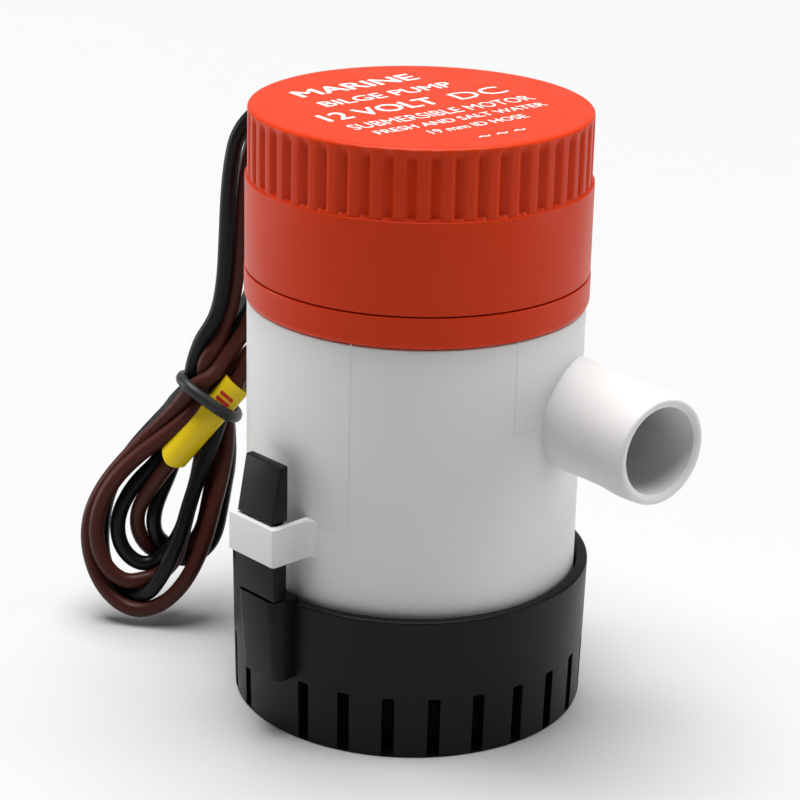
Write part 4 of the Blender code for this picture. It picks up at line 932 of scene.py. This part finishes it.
class BILGE_OT_latches(bpy.types.Operator):
    """Build the two sprung latch arms that hook over the housing's loops"""

    bl_idname = "bilge.latches"
    bl_label = "Latch arms"

    def execute(self, context):
        for side, bearing in LATCHES.items():
            item = as_object(side + "_latch_arm", self.arm(bearing), smooth=30)
            dress(item, base_plastic(), side + "_latch", "black_plastic", "latch_arm_" + side)
        return {"FINISHED"}

    def arm(self, bearing):
        """A foot, a waist and a hook, each a rounded block, with the hook sloped on its outside."""
        foot = BOSS_TOP + 0.3 * MM
        ledge = LOOP_HIGH + 0.3 * MM
        hook_top = ledge + 10.2 * MM
        hook = slab((ARM_INNER - 0.6 * MM, -4.7 * MM, ledge), (37.1 * MM, 4.7 * MM, hook_top))
        for vert in hook.verts:
            if vert.co.z > ledge + MM and vert.co.x > 36 * MM:
                vert.co.x = 35.15 * MM
        round_edges(hook, 0.3 * MM)
        below_loop = LOOP_LOW - 0.3 * MM
        return turned(gathered([
            slab((ARM_INNER, -5.2 * MM, foot), (37.05 * MM, 5.2 * MM, below_loop), 0.3 * MM),
            slab((ARM_INNER, -4.3 * MM, foot + MM), (35.9 * MM, 4.3 * MM, ledge + MM), 0.1 * MM),
            slab((34.5 * MM, -2.8 * MM, 25.2 * MM), (36.05 * MM, 2.8 * MM, foot + MM), 0.1 * MM),
            hook]), bearing)


class BILGE_OT_gland(bpy.types.Operator):
    """Turn the tapered rubber gland that the leads leave through"""

    bl_idname = "bilge.gland"
    bl_label = "Cable gland"

    def execute(self, context):
        tip = -GLAND_LOW.x
        inner = -GLAND_HIGH.x
        profile = softened((
            (0.0, tip, 0), (3.2 * MM, tip, 0.4 * MM), (3.6 * MM, tip - 1.0 * MM, 0.2 * MM),
            (3.5 * MM, tip - 1.3 * MM, 0.1 * MM), (3.9 * MM, tip - 1.5 * MM, 0.2 * MM),
            (4.1 * MM, tip - 2.6 * MM, 0.2 * MM), (4.3 * MM, tip - 3.0 * MM, 0.2 * MM),
            (4.3 * MM, inner + 1.2 * MM, 0), (5.0 * MM, inner + 1.2 * MM, 0.2 * MM),
            (5.0 * MM, inner, 0.2 * MM), (0.0, inner, 0)))
        bm = spun(profile, 64)
        bmesh.ops.transform(bm, verts=bm.verts, matrix=Matrix.Translation((0, 0, GLAND_LEVEL))
                            @ Matrix.Rotation(-math.pi / 2, 4, "Y"))
        item = as_object("tapered_gland", bm)
        dress(item, black_rubber(), "pump", "black_rubber", "cable_gland")
        return {"FINISHED"}


# ---- inner parts

class BILGE_OT_brush_springs(bpy.types.Operator):
    """Wind the springs that press the brushes on"""

    bl_idname = "bilge.brush_springs"
    bl_label = "Brush springs"

    def execute(self, context):
        for side, sign in (("front", -1), ("back", 1)):
            low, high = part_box("brush_spring_" + side)
            near, far = sorted((low.y, high.y), key=abs)
            wire = 0.25 * MM
            reach = (high.x - low.x) / 2 - wire
            level = (low.z + high.z) / 2
            turns, points_a_turn = 6, 16
            count = turns * points_a_turn
            start, end = near + sign * wire, far - sign * wire
            points = [(reach * math.cos(step * math.tau / points_a_turn),
                       start + (end - start) * step / count,
                       level + reach * math.sin(step * math.tau / points_a_turn))
                      for step in range(count + 1)]
            bm = as_bmesh(tube("spring_wire", points, wire))
            bmesh.ops.remove_doubles(bm, verts=bm.verts, dist=0.001 * MM)
            item = as_object(side + "_brush_spring", bm)
            dress(item, plated_steel(), "pump", "can_steel", "brush_spring_" + side)
            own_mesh(item)
        return {"FINISHED"}


class BILGE_OT_inner_finishes(bpy.types.Operator):
    """Give the parts inside the pump their finishes"""

    bl_idname = "bilge.inner_finishes"
    bl_label = "Inner finishes"

    def execute(self, context):
        for material, names in (
                (shell_plastic(), "suction_plate diffuser"),
                (base_plastic(), "impeller end_bell"),
                (plastic("Grey moulding", (0.10, 0.10, 0.11), 0.5, grain=0.8, drift=0.15, bump=0.06),
                 "motor_canister"),
                (black_rubber(), "canister_o_ring shaft_seal"),
                (plated_steel(), "motor_can motor_shaft"),
                (metal("Stacked steel", (0.32, 0.32, 0.33), (0.20, 0.19, 0.18), 0.30),
                 "armature_core"),
                (metal("Sintered bronze", (0.50, 0.33, 0.16), (0.28, 0.18, 0.10), 0.34),
                 "lower_bearing upper_bearing"),
                (metal("Copper wire", (0.72, 0.28, 0.12), (0.42, 0.14, 0.06), 0.20),
                 "armature_winding commutator"),
                (metal("Brass strip", (0.78, 0.58, 0.26), (0.46, 0.34, 0.18), 0.20),
                 "terminal_positive terminal_negative"),
                (plastic("Ferrite", (0.035, 0.035, 0.038), 0.55, grain=1.0, drift=0.3, bump=0.15),
                 "magnet_front magnet_back"),
                (plastic("Pressed carbon", (0.02, 0.02, 0.02), 0.6, grain=1.0, drift=0.3, bump=0.2),
                 "brush_front brush_back"),
                (plastic("Natural nylon", (0.66, 0.65, 0.58), 0.4, grain=0.5, drift=0.05),
                 "lower_thrust_washer upper_thrust_washer"),
                (brown_insulation(), "inner_lead_brown"),
                (black_insulation(), "inner_lead_black")):
            for name in names.split():
                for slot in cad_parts[name].material_slots:
                    slot.material = material
        return {"FINISHED"}


# ---- stage

class BILGE_OT_stage(bpy.types.Operator):
    """Set the pale floor, the soft lights and the camera"""

    bl_idname = "bilge.stage"
    bl_label = "Stage"

    def execute(self, context):
        self.floor()
        self.sun()
        self.light("left_strip", (-0.62, -0.50, 0.16), (0.22, 0.60), 2.4)
        self.light("right_strip", (0.50, 0.62, 0.18), (0.22, 0.60), 1.8)
        self.light("back_panel", (-1.00, 0.80, 0.46), (2.0, 0.7), 1.8)
        self.world()
        self.camera()
        return {"FINISHED"}

    def floor(self):
        bm = bmesh.new()
        bmesh.ops.create_grid(bm, x_segments=1, y_segments=1, size=6.0)
        item = as_object("floor", bm)
        item.data.materials.append(plastic("Pale floor", (0.52, 0.52, 0.52), 0.9, grain=0.2,
                                           drift=0.01, bump=0.01))

    def sun(self):
        lamp = bpy.data.lights.new("overhead", "SUN")
        lamp.energy = 5.2
        lamp.angle = math.radians(48)
        item = bpy.data.objects.new("overhead", lamp)
        item.rotation_euler = (math.radians(-3), math.radians(-4), 0.0)
        bpy.context.scene.collection.objects.link(item)

    def light(self, name, place, size, power):
        lamp = bpy.data.lights.new(name, "AREA")
        lamp.shape = "RECTANGLE"
        lamp.size, lamp.size_y = size
        lamp.energy = power
        item = bpy.data.objects.new(name, lamp)
        item.location = place
        aim = Vector((0.0, 0.0, 0.06)) - Vector(place)
        item.rotation_euler = aim.to_track_quat("-Z", "Y").to_euler()
        item.visible_camera = False
        bpy.context.scene.collection.objects.link(item)

    def world(self):
        world = bpy.data.worlds.new("Studio")
        world.use_nodes = True
        sky = world.node_tree.nodes["Background"].inputs
        sky["Color"].default_value = (1.0, 1.0, 1.0, 1.0)
        sky["Strength"].default_value = 0.04
        bpy.context.scene.world = world
        bpy.context.scene.view_settings.view_transform = "Standard"

    def camera(self):
        lens = bpy.data.cameras.new("camera")
        lens.lens = 112.2
        lens.sensor_width = 36.0
        item = bpy.data.objects.new("camera", lens)
        heading, down, roll = (math.radians(angle) for angle in (51.41, 20.56, 1.369))
        item.matrix_world = (Matrix.Translation((0.3262, -0.2635, 0.2123))
                             @ Matrix.Rotation(heading, 4, "Z")
                             @ Matrix.Rotation(math.pi / 2 - down, 4, "X")
                             @ Matrix.Rotation(roll, 4, "Z"))
        bpy.context.scene.collection.objects.link(item)
        bpy.context.scene.camera = item


# ---- add-on

class BILGE_PT_panel(bpy.types.Panel):
    """Sidebar panel that lists the pump's settings and build steps"""

    bl_idname = "BILGE_PT_panel"
    bl_label = "Bilge Pump"
    bl_space_type = "VIEW_3D"
    bl_region_type = "UI"
    bl_category = "Bilge Pump"

    def draw(self, context):
        column = self.layout.column(align=True)
        for group in (context.scene.pump_sizes, context.scene.pump_colours):
            for name in type(group).__annotations__:
                column.prop(group, name)
        for operator in OPERATORS:
            column.operator(operator.bl_idname)


OPERATORS = (BILGE_OT_stage, BILGE_OT_leads, BILGE_OT_gland, BILGE_OT_cap, BILGE_OT_ring,
             BILGE_OT_housing, BILGE_OT_strainer, BILGE_OT_latches,
             BILGE_OT_brush_springs, BILGE_OT_inner_finishes)
CLASSES = (PumpSizes, PumpColours, *OPERATORS, BILGE_PT_panel)


def register():
    for item in CLASSES:
        bpy.utils.register_class(item)
    bpy.types.Scene.pump_sizes = bpy.props.PointerProperty(type=PumpSizes)
    bpy.types.Scene.pump_colours = bpy.props.PointerProperty(type=PumpColours)


def unregister():
    del bpy.types.Scene.pump_colours
    del bpy.types.Scene.pump_sizes
    for item in reversed(CLASSES):
        bpy.utils.unregister_class(item)


def main():
    register()
    for operator in OPERATORS:
        group, name = operator.bl_idname.split(".")
        getattr(getattr(bpy.ops, group), name)()


if __name__ == "__main__":
    main()
